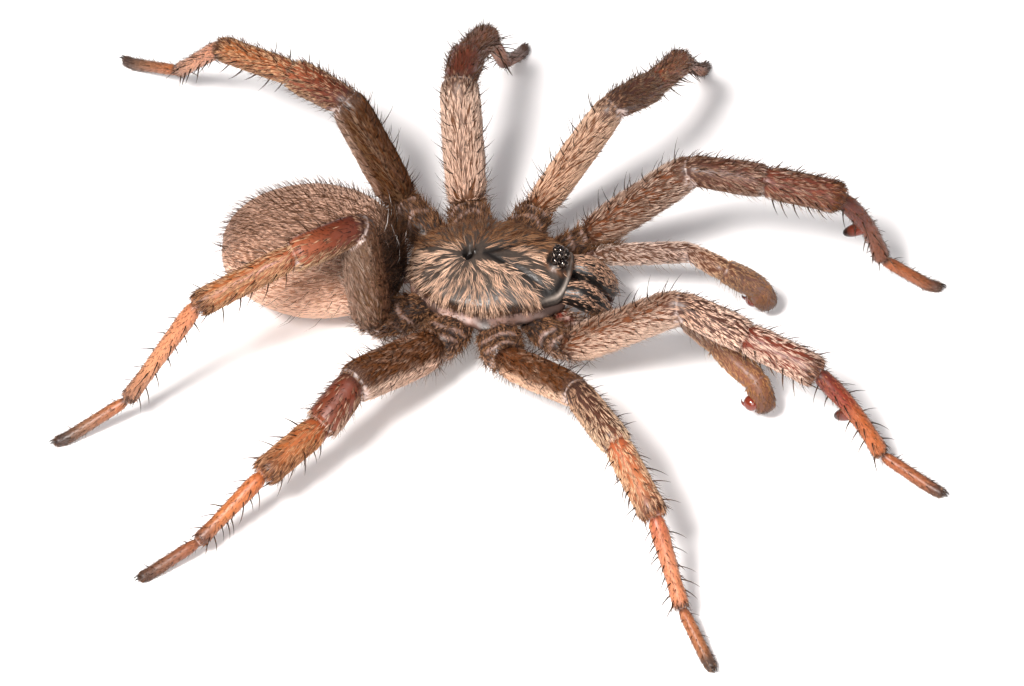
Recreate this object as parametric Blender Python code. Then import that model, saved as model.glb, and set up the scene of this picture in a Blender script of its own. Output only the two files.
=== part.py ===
"""Trapdoor spider, a still life-size model, for Blender 4.5 (metres, +Z up).

The sizes below are in millimetres, in the body's own frame: the spider faces +X, its left side is
+Y, the floor is z = 0 and the origin lies under the middle of the carapace. The last steps turn
them to metres and set the origin in the middle of the model's own footprint, on the floor.
"""
import math
import random

import bmesh
import bpy
import numpy as np
from mathutils.bvhtree import BVHTree

# General sizes
MM = 0.001                       # metres in a millimetre
GAP = 0.3                        # clear space between two pieces that meet
LEG_SIDES = 10                   # facets round a leg
BODY_SIDES = 16                  # facets round the abdomen
SHORTEST_EDGE = 0.002            # an edge shorter than this is closed up after a union

# Core of the front body: an upright oval block that all the coxae meet
CORE_MIDDLE = (-0.2, 0.0)
CORE_HALF = (2.9, 2.05)
CORE_FLOOR = 1.5
CORE_TOP = 3.75

# Carapace
CARAPACE_HALF_LENGTH = 4.75
CARAPACE_HALF_WIDTH = 3.72
CARAPACE_UNDER = CORE_TOP + GAP
CARAPACE_RIM = 0.5               # thickness of the shield at its edge
FOVEA = (-1.3, 0.0)              # the pit where the back muscles are fixed
CARAPACE_PLACES = (-4.75, -4.45, -3.9, -3.2, -2.4, -1.7, -1.3, -0.9, -0.3, 0.6, 1.6, 2.6, 3.5,
                   4.1, 4.4, 4.75)
RIDGE_PLACES = (-4.75, -4.2, -3.2, -1.8, 0.0, 1.5, 2.6, 3.5, 4.0, 4.4, 4.75)
RIDGE_HEIGHTS = (4.65, 4.95, 5.3, 5.55, 5.75, 5.85, 5.78, 5.6, 5.58, 5.5, 5.15)

# Eye tubercle, a low mound near the front rim with eight eyes
EYE_MOUND = (4.0, 0.0, 6.02)
EYE_MOUND_HALF = (0.6, 0.68, 0.42)
EYE_PLACES = ((0.22, 0.24, 0.16), (0.42, 0.52, 0.17), (-0.12, 0.58, 0.15), (-0.16, 0.3, 0.12))

# Chelicerae, the jaws: place forward, height, half width and half height of each ring
JAW_RINGS = ((5.05, 4.2, 0.84, 0.85), (5.5, 4.0, 0.9, 0.97), (6.1, 3.68, 0.92, 0.94), (6.7, 3.2, 0.86, 0.82),
             (7.1, 2.82, 0.68, 0.62), (7.3, 2.62, 0.44, 0.4))
JAW_TIP = (7.42, 2.55)           # place forward and height
FANG_MIDDLE = (5.45, 1.07, 2.45) # of the arc that the left fang follows

# Abdomen
ABDOMEN_FRONT = -5.25
ABDOMEN_BACK = -16.1
ABDOMEN_HALF_WIDTH = 4.2         # of the core under the locks
ABDOMEN_HALF_HEIGHT = 3.7
ABDOMEN_LEVEL = 4.35             # height of its middle line over the floor, in front
ABDOMEN_SAG = 0.45               # how much lower that line lies at the back
ABDOMEN_TAPER = 0.06             # how much slimmer the back is than the front

# The abdomen's bristly coat, as flat, tapered locks that lie backwards
LOCK_SPACING = 1.9
LOCK_LENGTH = 2.3
LOCK_HALF_WIDTH = 0.52
LOCK_HALF_THICK = 0.26
LOCK_SINK = 0.3                  # how deep the root lies under the surface
LOCK_CLEAR = 0.6                 # least distance from a lock to another piece
LOCK_LIE = (-1.0, 0.0, 0.12)     # the way the coat lies
LOCK_FLOOR = 0.3                 # no lock reaches lower than this over the floor

# Legs: places of the hips (x, y, z on the left side), lengths and poses
LEG_HIP = {1: (5.15, 4.75, 3.2), 2: (1.7, 6.3, 3.3), 3: (-2.5, 6.0, 3.3), 4: (-6.3, 5.1, 3.9)}
LEG_CORE_ANGLE = {1: 50, 2: 78, 3: 108, 4: 138}
LEG_LENGTH = {                   # femur, patella, tibia, metatarsus, tarsus
    1: (8.8, 4.3, 4.8, 6.5, 4.3),
    2: (8.3, 4.5, 5.0, 5.4, 4.1),
    3: (7.4, 3.1, 4.6, 5.3, 4.0),
    4: (7.1, 4.2, 6.3, 7.8, 5.0),
}
LEG_HALF_WIDTH = {               # the same five, at the thickest, coat included
    1: (1.02, 1.05, 1.02, 0.55, 0.38),
    2: (1.0, 1.0, 0.88, 0.52, 0.38),
    3: (1.26, 1.12, 0.93, 0.5, 0.38),
    4: (1.17, 1.06, 0.85, 0.53, 0.38),
}
COXA_LEVEL = 2.55                # height of a coxa's start at the core
COXA_HALF_WIDTH = {1: 0.86, 2: 1.25, 3: 1.28, 4: 1.15}
COXA_HALF_HEIGHT = 1.0           # at most, so that the shield stays clear over them
FEMUR_DEPTH = 1.12               # a femur is this much deeper than wide
TOE_LENGTH = 0.7                 # the end of the tarsus, which lies on the floor
TOE_LEVEL = 0.3                  # height of its middle
LEG_POSE = {                     # yaw and pitch of four segments, then the tarsus's yaw
    ("left", 1): ((-2, 48), (0, -3), (8, -16), (24, -64), 4),
    ("left", 2): ((31, 55), (63, -20), (75, -22), (88, -47), 78),
    ("left", 3): ((105, 53), (90, -11), (82, -27), (76, -59), 78),
    ("left", 4): ((151, 55), (148, -4), (149, -14), (133, -49), 151),
    ("right", 1): ((8, 40), (0, -27), (19, -9), (17, -49), 23),
    ("right", 2): ((47, 27), (51, -2), (54, -18), (58, -44), 54),
    ("right", 3): ((122, 20), (122, -25), (128, -11), (132, -27), 141),
    ("right", 4): ((219, 81), (142, -3), (152, -20), (152, -55), 150),
}
BOW = 0.35                       # how far metatarsus I arches up from a straight line
SPUR_PLACE = 0.45                # along metatarsus I, the male's clasping spur under it
SPUR_LENGTH = 0.75

# Spines of a leg segment: angle round it in degrees from its left side over its top, and place
SPINE_PLACES = {
    "femur": ((88, 0.32), (68, 0.47), (112, 0.58), (90, 0.72), (62, 0.86), (124, 0.88), (150, 0.5)),
    "patella": ((52, 0.5), (128, 0.6)),
    "tibia": ((-52, 0.3), (-128, 0.36), (-48, 0.62), (-132, 0.68), (12, 0.5), (168, 0.56), (90, 0.8)),
    "metatarsus": ((-42, 0.26), (-138, 0.3), (-45, 0.55), (-135, 0.6), (-60, 0.86), (20, 0.42), (160, 0.7)),
}
SPINE_LENGTH = {"femur": 1.3, "patella": 1.1, "tibia": 1.3, "metatarsus": 1.2}
SPINE_THICK = 0.26               # half its thickness at the root
SPINE_SINK = 0.3                 # how deep the root lies under the surface
SPINE_CLEAR = 0.45               # least distance from a spine's middle line to another piece
SPINE_APART = 0.8                # and to the spines of another piece
SPINE_STOOPS = (0.75, 1.2, 1.9)  # how far over a spine leans towards the leg's end, tried in turn
SEED = 7

# Palps
PALP_HIP = (5.75, 3.05, 3.3)
PALP_CORE_ANGLE = 14
PALP_LENGTH = (6.0, 2.6, 3.3, 2.0)
PALP_HALF_WIDTH = (0.68, 0.7, 0.82, 0.72)
PALP_COXA_HALF_WIDTH = 0.56
PALP_POSE = {
    "left": ((-7, 18), (-30, 2), (38, -47), (20, -66)),
    "right": ((-9, 9), (24, -22), (37, -11), (47, -54)),
}
BULB_RADIUS = 0.5

# Swelling of a segment along its length: place from 0 to 1, share of the full half width
SWELL = {
    "coxa": ((0, 0.48), (0.35, 0.72), (0.75, 1.0), (1, 0.93)),
    "femur": ((0, 0.8), (0.2, 0.97), (0.5, 1.04), (0.8, 1.0), (1, 0.8)),
    "patella": ((0, 0.8), (0.3, 0.97), (0.7, 1.02), (1, 0.88)),
    "tibia": ((0, 0.88), (0.2, 1.0), (0.6, 1.0), (0.85, 0.9), (1, 0.72)),
    "metatarsus": ((0, 1.0), (0.2, 1.05), (0.55, 0.95), (0.85, 0.88), (1, 0.8)),
    "tarsus": ((0, 0.95), (0.3, 1.0), (0.7, 0.97), (1, 0.92)),
}

COLOURS = {                      # sRGB colour and roughness of each kind of surface
    "bronze hair": ((0.46, 0.35, 0.27), 0.7),
    "dark shield": ((0.30, 0.22, 0.17), 0.35),
    "tan hair": ((0.50, 0.41, 0.33), 0.8),
    "brown joint": ((0.30, 0.17, 0.12), 0.45),
    "red-brown shank": ((0.52, 0.28, 0.17), 0.5),
    "black eye": ((0.03, 0.03, 0.03), 0.1),
    "dark fang": ((0.10, 0.04, 0.03), 0.25),
    "dark bristle": ((0.08, 0.05, 0.04), 0.4),
}


def clear_scene():
    """Removes what the file opens with."""
    for old in list(bpy.data.objects):
        bpy.data.objects.remove(old, do_unlink=True)


def linear(value):
    """One sRGB channel as linear light."""
    return value / 12.92 if value <= 0.04045 else ((value + 0.055) / 1.055) ** 2.4


def make_material(kind):
    """The Principled material of one kind of surface, made once."""
    if kind in bpy.data.materials:
        return bpy.data.materials[kind]
    colour, roughness = COLOURS[kind]
    material = bpy.data.materials.new(kind)
    material.use_nodes = True
    shader = material.node_tree.nodes["Principled BSDF"]
    shader.inputs["Base Color"].default_value = (*[linear(c) for c in colour], 1.0)
    shader.inputs["Roughness"].default_value = roughness
    shader.inputs["Metallic"].default_value = 0.0
    return material


def unit(vector):
    """The vector at length one."""
    return np.asarray(vector, float) / np.linalg.norm(vector)


def heading(yaw, pitch, side):
    """Unit vector of a yaw from +X towards that side of the body and a pitch over the floor."""
    turn = math.radians(yaw) * side
    rise = math.radians(pitch)
    return np.array([math.cos(rise) * math.cos(turn), math.cos(rise) * math.sin(turn), math.sin(rise)])


def frame_across(along, out=(0.0, 0.0, 1.0)):
    """Two unit vectors across a direction: one to its left, and one nearest to the way out."""
    level = np.cross(out, along)
    if np.linalg.norm(level) < 1e-6:
        level = np.array([0.0, 1.0, 0.0])
    level = unit(level)
    return level, np.cross(along, level)


def ring(centre, along, half_width, half_height, sides=LEG_SIDES, out=(0.0, 0.0, 1.0)):
    """Points of an oval across a direction."""
    level, rise = frame_across(along, out)
    angle = (np.arange(sides) + 0.5) * 2 * math.pi / sides
    return (np.asarray(centre, float) + np.outer(np.cos(angle) * half_width, level)
            + np.outer(np.sin(angle) * half_height, rise))


def slide_to_plane(points, along, joint, normal, offset, share):
    """Slides points along a direction towards a plane, by a share of the whole way."""
    way = (offset - (points - joint) @ normal) / (along @ normal)
    return points + share * np.outer(way, along)


def loft(name, kind, rings, tip=None):
    """A closed solid through rings of equal count, with a flat start and a flat or pointed end."""
    mesh = bpy.data.meshes.new(name)
    build = bmesh.new()
    rows = [[build.verts.new(point * MM) for point in points] for points in rings]
    count = len(rows[0])
    for low, high in zip(rows[:-1], rows[1:]):
        for k in range(count):
            after = (k + 1) % count
            build.faces.new((low[k], low[after], high[after], high[k]))
    build.faces.new(rows[0])
    if tip is None:
        build.faces.new(rows[-1])
    else:
        pole = build.verts.new(np.asarray(tip, float) * MM)
        for k in range(count):
            build.faces.new((rows[-1][k], rows[-1][(k + 1) % count], pole))
    bmesh.ops.recalc_face_normals(build, faces=build.faces)
    build.to_mesh(mesh)
    build.free()
    piece = bpy.data.objects.new(name, mesh)
    mesh.materials.append(make_material(kind))
    return piece


def swell(kind, place):
    """Share of the full half width at a place along a segment."""
    table = np.array(SWELL[kind])
    return float(np.interp(place, table[:, 0], table[:, 1]))


def segment_rings(start, end, before, after, kind, half_width, depth=1.0):
    """Rings of one straight segment, its ends cut in the planes that halve the bends.

    before and after are the directions of the neighbours, or None at a free end. A ring near a cut
    end is slid part of the way, so that the rings fan out evenly.
    """
    start, end = np.asarray(start, float), np.asarray(end, float)
    length = np.linalg.norm(end - start)
    along = (end - start) / length
    fade = min(1.4, 0.4 * length)
    inner = [fade + (length - 2 * fade) * share for share in (0.0, 0.5, 1.0)]
    if length < 3.4:
        inner = [0.5 * length]
    rings = []
    for distance in [0.0, *inner, length]:
        wide = half_width * swell(kind, distance / length)
        points = ring(start + along * distance, along, wide, wide * depth)
        if before is not None and distance < fade * 0.99:
            normal = unit(before + along)
            points = slide_to_plane(points, along, start, normal, GAP / 2, 1 - distance / fade)
        if after is not None and length - distance < fade * 0.99:
            normal = unit(along + after)
            share = 1 - (length - distance) / fade
            points = slide_to_plane(points, along, end, normal, -GAP / 2, share)
        rings.append(points)
    return rings


def core_point(angle, side, height):
    """Where a coxa starts: just clear of the core's oval, at an angle round it."""
    turn = math.radians(angle)
    reach = GAP + 0.15
    return np.array([CORE_MIDDLE[0] + (CORE_HALF[0] + reach) * math.cos(turn),
                     side * (CORE_HALF[1] + reach) * math.sin(turn), height])


def leg_points(side_name, pair):
    """Joint points of a leg from the hip to the start of the toe, and the toe's end."""
    side = 1 if side_name == "left" else -1
    hip = LEG_HIP[pair]
    points = [np.array([hip[0], side * hip[1], hip[2]])]
    pose = LEG_POSE[(side_name, pair)]
    lengths = LEG_LENGTH[pair]
    for (yaw, pitch), length in zip(pose[:4], lengths[:4]):
        points.append(points[-1] + length * heading(yaw, pitch, side))
    straight = lengths[4] - TOE_LENGTH
    dip = math.degrees(math.asin((TOE_LEVEL - points[-1][2]) / straight))
    points.append(points[-1] + straight * heading(pose[4], dip, side))
    points.append(points[-1] + TOE_LENGTH * heading(pose[4], 0, side))
    return points


def build_coxa(name, kind, angle, side, hip, after, half_width):
    """The short base segment between the core and the hip."""
    start = core_point(angle, side, COXA_LEVEL)
    depth = min(1.0, COXA_HALF_HEIGHT / half_width)
    rings = segment_rings(start, hip, None, after, "coxa", half_width, depth)
    return loft(name, kind, rings)


def thorn(root, along, lean, thick, length, sides=4):
    """A closed, tapered spike from a sunk root, which bends over by a lean towards its tip."""
    along = unit(along)
    rings = []
    for share, size in ((0.0, 1.0), (0.5, 0.8)):
        centre = root + along * length * share + lean * length * share ** 2
        rings.append(ring(centre, unit(along + 2 * share * lean), thick * size, thick * size, sides))
    return loft("thorn", "dark bristle", rings, tip=root + (along + lean) * length)


def nearest(trees, points, own):
    """Least distance in millimetres from some points to the pieces other than their own."""
    return min((tree.find_nearest(point * MM)[3] / MM for name, tree in trees.items() if name != own
                for point in points), default=math.inf)


def add_spines(piece, kind, start, end, half_width, depth, bow, trees, taken):
    """Grows the spines of one segment and fuses them to its node.

    A spine leans towards the leg's end. One that would come near another piece, or another node's
    spine, leans over more, and if that is not enough it is left out.
    """
    chance = random.Random(f"{SEED} {piece.name} {kind}")
    length = np.linalg.norm(end - start)
    along = (end - start) / length
    level, rise = frame_across(along)
    spines = []
    for angle, place in SPINE_PLACES[kind]:
        turn = math.radians(angle + chance.uniform(-12, 12))
        place += chance.uniform(-0.04, 0.04)
        long = SPINE_LENGTH[kind] * chance.uniform(0.85, 1.15)
        out = unit(level * math.cos(turn) + rise * math.sin(turn))
        radius = half_width * swell(kind, place) * math.hypot(math.cos(turn), depth * math.sin(turn))
        middle = start + (end - start) * place + rise * bow * math.sin(math.pi * place)
        root = middle + out * max(radius - SPINE_SINK, 0.1)
        for stoop in SPINE_STOOPS:
            way = unit(out + along * stoop)
            lean = along * 0.18
            reach = long + SPINE_SINK
            line = [root + way * reach * share + lean * reach * share ** 2 for share in (0.45, 0.75, 1.0)]
            low = min(point[2] for point in line) < LOCK_FLOOR
            others = [np.linalg.norm(a - b) for name, points in taken for a in line for b in points
                      if name != piece.name]
            apart = min(others, default=math.inf) > SPINE_APART
            if apart and not low and nearest(trees, line, piece.name) > SPINE_CLEAR:
                spines.append(thorn(root, way, lean, SPINE_THICK, reach))
                taken.append((piece.name, line))
                break
    if spines:
        fuse(piece, spines)


def tree_of(piece):
    """A search tree of a piece's surface, to measure distances to it."""
    corners = [vertex.co.copy() for vertex in piece.data.vertices]
    faces = [tuple(polygon.vertices) for polygon in piece.data.polygons]
    return BVHTree.FromPolygons(corners, faces)


def grow_spines(pieces):
    """Spines on the femora, patellae, tibiae and metatarsi of all legs."""
    by_name = {piece.name: piece for piece in pieces}
    trees = {piece.name: tree_of(piece) for piece in pieces}
    taken = []
    for side_name in ("left", "right"):
        for pair in (1, 2, 3, 4):
            points = leg_points(side_name, pair)
            for k, kind in enumerate(("femur", "patella", "tibia", "metatarsus")):
                node = by_name[f"leg_{pair}_{side_name}_{'foot' if kind == 'metatarsus' else kind}"]
                depth = FEMUR_DEPTH if kind == "femur" else 1.0
                bow = BOW if (kind, pair) == ("metatarsus", 1) else 0.0
                add_spines(node, kind, points[k], points[k + 1], LEG_HALF_WIDTH[pair][k], depth, bow,
                           trees, taken)


def lock(root, out, lie, length, half_width):
    """A flat, tapered lock: it leaves the surface half upright and bends over along the lie."""
    start_way = unit(out * 0.62 + lie)
    rings = []
    for share, size in ((0.0, 1.0), (0.4, 0.95), (0.75, 0.6)):
        centre = root + start_way * length * share + (lie - start_way) * length * 0.5 * share ** 2
        way = unit(start_way + (lie - start_way) * share)
        rings.append(ring(centre, way, half_width * size, LOCK_HALF_THICK * size, 4, out))
    return loft("lock", "dark bristle", rings, tip=root + (start_way + lie) * length * 0.5)


def grow_locks(abdomen, trees):
    """Rows of locks round the abdomen, each row set between the locks of the row before."""
    chance = random.Random(SEED)
    half_length = (ABDOMEN_FRONT - ABDOMEN_BACK) / 2
    middle = np.array([(ABDOMEN_FRONT + ABDOMEN_BACK) / 2, 0.0, ABDOMEN_LEVEL])
    skin = tree_of(abdomen)
    rows = int(math.pi * half_length / LOCK_SPACING)
    locks = []
    for row in range(1, rows):
        turn = math.pi * row / rows
        around = 2 * math.pi * ABDOMEN_HALF_WIDTH * math.sin(turn)
        count = max(4, int(around / LOCK_SPACING))
        for k in range(count):
            angle = 2 * math.pi * (k + 0.5 * (row % 2) + chance.uniform(-0.2, 0.2)) / count
            sight = np.array([math.cos(turn), math.sin(turn) * math.cos(angle),
                              math.sin(turn) * math.sin(angle)])
            spot, normal = skin.ray_cast((middle + sight * 9.0) * MM, -sight)[:2]
            spot, normal = np.array(spot) / MM, np.array(normal)
            lie = unit(LOCK_LIE - normal * (normal @ LOCK_LIE))
            length = LOCK_LENGTH * chance.uniform(0.8, 1.15)
            root = spot - normal * LOCK_SINK
            tip = root + (unit(normal * 0.62 + lie) + lie) * length * 0.5
            line = [(root + tip) / 2 + normal * LOCK_SINK, tip]
            if tip[2] < LOCK_FLOOR or nearest(trees, line, "abdomen") < LOCK_CLEAR:
                continue
            locks.append(lock(root, normal, lie, length, LOCK_HALF_WIDTH * chance.uniform(0.85, 1.15)))
    fuse(abdomen, locks)


def build_foot(name, points, before, half_metatarsus, half_tarsus, bow):
    """Metatarsus and tarsus in one, bent where they join, with the toe flat on the floor."""
    knee, ankle, toe, tip = points
    along = unit(ankle - knee)
    after = unit(toe - ankle)
    rise = frame_across(along)[1]
    rings = segment_rings(knee, ankle, before, None, "metatarsus", half_metatarsus)[:-1]
    places = [float((points.mean(axis=0) - knee) @ along) for points in rings]
    length = np.linalg.norm(ankle - knee)
    rings = [rings[0]] + [points + rise * bow * math.sin(math.pi * place / length)
                          for points, place in zip(rings[1:], places[1:])]
    half_ankle = half_metatarsus * swell("metatarsus", 1.0)
    joint = ring(ankle, along, half_ankle, half_ankle)
    rings.append(slide_to_plane(joint, along, ankle, unit(along + after), 0.0, 1.0))
    for share in (0.35, 0.7):
        wide = half_tarsus * swell("tarsus", share)
        rings.append(ring(ankle + (toe - ankle) * share, after, wide, wide))
    level = unit(tip - toe)
    rings.append(ring(toe, unit(after + level), half_tarsus * 0.95, half_tarsus * 0.95))
    rings.append(ring(tip, level, half_tarsus * 0.85, half_tarsus * 0.85))
    for points in rings[-2:]:
        points[points[:, 2] < 0.06, 2] = 0.0
    foot = loft(name, "red-brown shank", rings, tip=tip + level * 0.2)
    if bow > 0:
        root = knee + along * length * SPUR_PLACE + rise * (bow - 0.1)
        fuse(foot, [thorn(root, along * 0.25 - rise, along * 0.1, 0.3, half_metatarsus + SPUR_LENGTH, 6)])
    return foot


def build_leg(side_name, pair):
    """The five nodes of one leg."""
    side = 1 if side_name == "left" else -1
    label = f"leg_{pair}_{side_name}"
    points = leg_points(side_name, pair)
    ways = [unit(b - a) for a, b in zip(points[:-1], points[1:])]
    half = LEG_HALF_WIDTH[pair]
    coxa_way = unit(points[0] - core_point(LEG_CORE_ANGLE[pair], side, COXA_LEVEL))
    pieces = [build_coxa(f"{label}_coxa", "brown joint", LEG_CORE_ANGLE[pair], side, points[0],
                         ways[0], COXA_HALF_WIDTH[pair])]
    plan = (("femur", "bronze hair", coxa_way, FEMUR_DEPTH), ("patella", "brown joint", ways[0], 1.0),
            ("tibia", "red-brown shank", ways[1], 1.0))
    for k, (kind, colour, before, depth) in enumerate(plan):
        rings = segment_rings(points[k], points[k + 1], before, ways[k + 1], kind, half[k], depth)
        pieces.append(loft(f"{label}_{kind}", colour, rings))
    bow = BOW if pair == 1 else 0.0
    pieces.append(build_foot(f"{label}_foot", points[3:], ways[2], half[3], half[4], bow))
    return pieces


def build_palp(side_name):
    """The four nodes of one palp: coxa, femur, patella with tibia, and the swollen last segment."""
    side = 1 if side_name == "left" else -1
    label = f"palp_{side_name}"
    points = [np.array([PALP_HIP[0], side * PALP_HIP[1], PALP_HIP[2]])]
    for (yaw, pitch), length in zip(PALP_POSE[side_name], PALP_LENGTH):
        points.append(points[-1] + length * heading(yaw, pitch, side))
    ways = [unit(b - a) for a, b in zip(points[:-1], points[1:])]
    half = PALP_HALF_WIDTH
    coxa_way = unit(points[0] - core_point(PALP_CORE_ANGLE, side, COXA_LEVEL))
    coxa = build_coxa(f"{label}_coxa", "brown joint", PALP_CORE_ANGLE, side, points[0], ways[0],
                      PALP_COXA_HALF_WIDTH)
    femur = loft(f"{label}_femur", "bronze hair",
                 segment_rings(points[0], points[1], coxa_way, ways[1], "femur", half[0]))
    upper = segment_rings(points[1], points[2], ways[0], None, "patella", half[1])[:-1]
    bend = ring(points[2], ways[1], half[1] * 0.9, half[1] * 0.9)
    bend = slide_to_plane(bend, ways[1], points[2], unit(ways[1] + ways[2]), 0.0, 1.0)
    lower = segment_rings(points[2], points[3], None, ways[3], "tibia", half[2])[1:]
    tibia = loft(f"{label}_tibia", "bronze hair", [*upper, bend, *lower])
    tarsus = build_palp_end(f"{label}_tarsus", points[3], points[4], ways[2], ways[3], half[3])
    return [coxa, femur, tibia, tarsus]


def build_palp_end(name, start, end, before, along, half_width):
    """The rounded last segment of a palp, with the male's glossy bulb set into its underside."""
    level, rise = frame_across(along)
    rings = []
    for share, size in ((0.0, 0.85), (0.35, 1.0), (0.7, 0.9), (0.95, 0.55)):
        wide = half_width * size
        points = ring(start + (end - start) * share, along, wide, wide)
        if share == 0.0:
            points = slide_to_plane(points, along, start, unit(before + along), GAP / 2, 1.0)
        rings.append(points)
    cymbium = loft(name, "brown joint", rings, tip=end + along * 0.1)
    middle = start + (end - start) * 0.7 - rise * (half_width * 0.75)
    build = bmesh.new()
    bmesh.ops.create_icosphere(build, subdivisions=2, radius=BULB_RADIUS * MM)
    bmesh.ops.translate(build, verts=build.verts, vec=middle * MM)
    mesh = bpy.data.meshes.new("bulb")
    build.to_mesh(mesh)
    build.free()
    fuse(cymbium, [bpy.data.objects.new("bulb", mesh)])
    return cymbium


def fuse(body, additions):
    """Joins closed pieces to a body by one union and keeps the largest closed surface.

    Where the cut faces can't be split cleanly, all faces are split to triangles first.
    """
    for split_first in (False, True):
        if split_first:
            for piece in (body, *additions):
                split_faces(piece.data)
        joined = union(body, additions)
        if keep_largest(joined):
            break
    body.data = joined
    for piece in additions:
        bpy.data.objects.remove(piece, do_unlink=True)


def split_faces(mesh):
    """Splits a mesh's faces to triangles."""
    build = bmesh.new()
    build.from_mesh(mesh)
    bmesh.ops.triangulate(build, faces=build.faces)
    build.to_mesh(mesh)
    build.free()


def union(body, additions):
    """The mesh of a body joined with a collection of closed pieces."""
    group = bpy.data.collections.new("pieces to fuse")
    scene_group = bpy.context.scene.collection
    scene_group.children.link(group)
    scene_group.objects.link(body)
    for piece in additions:
        group.objects.link(piece)
    joint = body.modifiers.new("union", "BOOLEAN")
    joint.operation = "UNION"
    joint.operand_type = "COLLECTION"
    joint.collection = group
    joint.solver = "MANIFOLD"
    view = bpy.context.evaluated_depsgraph_get()
    joined = bpy.data.meshes.new_from_object(body.evaluated_get(view))
    body.modifiers.clear()
    scene_group.objects.unlink(body)
    bpy.data.collections.remove(group)
    return joined


def keep_largest(mesh):
    """Leaves only the largest surface, in triangles, and says whether it is closed."""
    build = bmesh.new()
    build.from_mesh(mesh)
    bmesh.ops.dissolve_degenerate(build, edges=build.edges, dist=SHORTEST_EDGE * MM)
    bmesh.ops.triangulate(build, faces=build.faces)
    waiting = set(build.faces)
    islands = []
    while waiting:
        growing = [waiting.pop()]
        island = set(growing)
        while growing:
            for edge in growing.pop().edges:
                for other in edge.link_faces:
                    if other in waiting:
                        waiting.discard(other)
                        island.add(other)
                        growing.append(other)
        islands.append(island)
    islands.sort(key=len, reverse=True)
    for scrap in islands[1:]:
        bmesh.ops.delete(build, geom=list(scrap), context="FACES")
    clean = all(len(edge.link_faces) == 2 for edge in build.edges)
    clean = clean and all(vert.is_manifold for vert in build.verts)
    build.to_mesh(mesh)
    build.free()
    return clean


def build_core():
    """The sternum block: an oval with upright sides, a domed plate below and a flat top."""
    rings = []
    for height, share in ((CORE_FLOOR, 0.55), (CORE_FLOOR + 0.35, 0.9), (2.1, 1.0), (3.3, 1.0),
                          (CORE_TOP, 0.85)):
        angle = np.arange(20) * 2 * math.pi / 20
        rings.append(np.column_stack((CORE_MIDDLE[0] + CORE_HALF[0] * share * np.cos(angle),
                                      CORE_HALF[1] * share * np.sin(angle),
                                      np.full(20, height))))
    return loft("sternum", "brown joint", rings)


def carapace_half_width(x):
    """Half width of the shield: an oval, kept broad towards the blunt front."""
    reach = min(abs(x) / CARAPACE_HALF_LENGTH, 1.0)
    if x > 0:
        return CARAPACE_HALF_WIDTH * (1 - 0.52 * reach ** 1.5)
    return CARAPACE_HALF_WIDTH * (1 - 0.85 * reach ** 2.2) ** 0.6


def carapace_top(x, y):
    """Height of the shield's upper side: low behind, high over the raised head, sunk at the fovea."""
    ridge = np.interp(x, RIDGE_PLACES, RIDGE_HEIGHTS)
    across = min(abs(y) / carapace_half_width(x), 1.0)
    edge = CARAPACE_UNDER + CARAPACE_RIM
    height = edge + (ridge - edge) * (1 - across ** 2.3) ** 0.75
    pit = 0.35 * math.exp(-((x - FOVEA[0]) / 0.45) ** 2 - (y / 0.6) ** 2)
    return height - pit


def build_carapace():
    """The back shield, a dome over a flat underside."""
    rings = []
    for x in CARAPACE_PLACES:
        wide = carapace_half_width(x)
        across = wide * np.cos(np.linspace(0, math.pi, 15))
        top = [(x, y, carapace_top(x, y)) for y in across]
        under = [(x, y, CARAPACE_UNDER) for y in (-wide * 0.94, 0.0, wide * 0.94)]
        rings.append(np.array(top + under))
    return loft("carapace", "dark shield", rings)


def build_eyes():
    """The eye mound with its eight eyes, each set by its place forward, place out and radius."""
    build = bmesh.new()
    bmesh.ops.create_uvsphere(build, u_segments=14, v_segments=8, radius=MM)
    bmesh.ops.scale(build, verts=build.verts, vec=EYE_MOUND_HALF)
    bmesh.ops.translate(build, verts=build.verts, vec=np.array(EYE_MOUND) * MM)
    floor = (EYE_MOUND[2] - 0.12) * MM
    cut = bmesh.ops.bisect_plane(build, geom=build.verts[:] + build.edges[:] + build.faces[:],
                                 plane_co=(0, 0, floor), plane_no=(0, 0, -1), clear_outer=True)
    edges = [item for item in cut["geom_cut"] if isinstance(item, bmesh.types.BMEdge)]
    bmesh.ops.contextual_create(build, geom=edges)
    mesh = bpy.data.meshes.new("eye_group")
    build.to_mesh(mesh)
    build.free()
    mound = bpy.data.objects.new("eye_group", mesh)
    mesh.materials.append(make_material("black eye"))
    eyes = []
    for forward, out, radius in EYE_PLACES:
        for side in (1, -1):
            shape = bmesh.new()
            bmesh.ops.create_icosphere(shape, subdivisions=1, radius=radius * MM)
            under = 1 - (forward / EYE_MOUND_HALF[0]) ** 2 - (out / EYE_MOUND_HALF[1]) ** 2
            rise = math.sqrt(max(0.05, under))
            spot = np.array([EYE_MOUND[0] + forward, side * out, EYE_MOUND[2] + EYE_MOUND_HALF[2] * rise])
            bmesh.ops.translate(shape, verts=shape.verts, vec=spot * MM)
            eye_mesh = bpy.data.meshes.new("eye")
            shape.to_mesh(eye_mesh)
            shape.free()
            eyes.append(bpy.data.objects.new("eye", eye_mesh))
    fuse(mound, eyes)
    return mound


def build_chelicera(side_name):
    """One jaw base: a heavy dome that reaches forward from under the shield's front."""
    side = 1 if side_name == "left" else -1
    wide_jaw = max(row[2] for row in JAW_RINGS)
    rings = []
    for x, z, wide, high in JAW_RINGS:
        rings.append(ring((x, side * (wide_jaw + GAP / 2), z), np.array([1.0, 0.0, 0.0]), wide, high, 12))
    return loft(f"chelicera_{side_name}", "bronze hair", rings, tip=(JAW_TIP[0], side * wide_jaw, JAW_TIP[1]))


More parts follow.
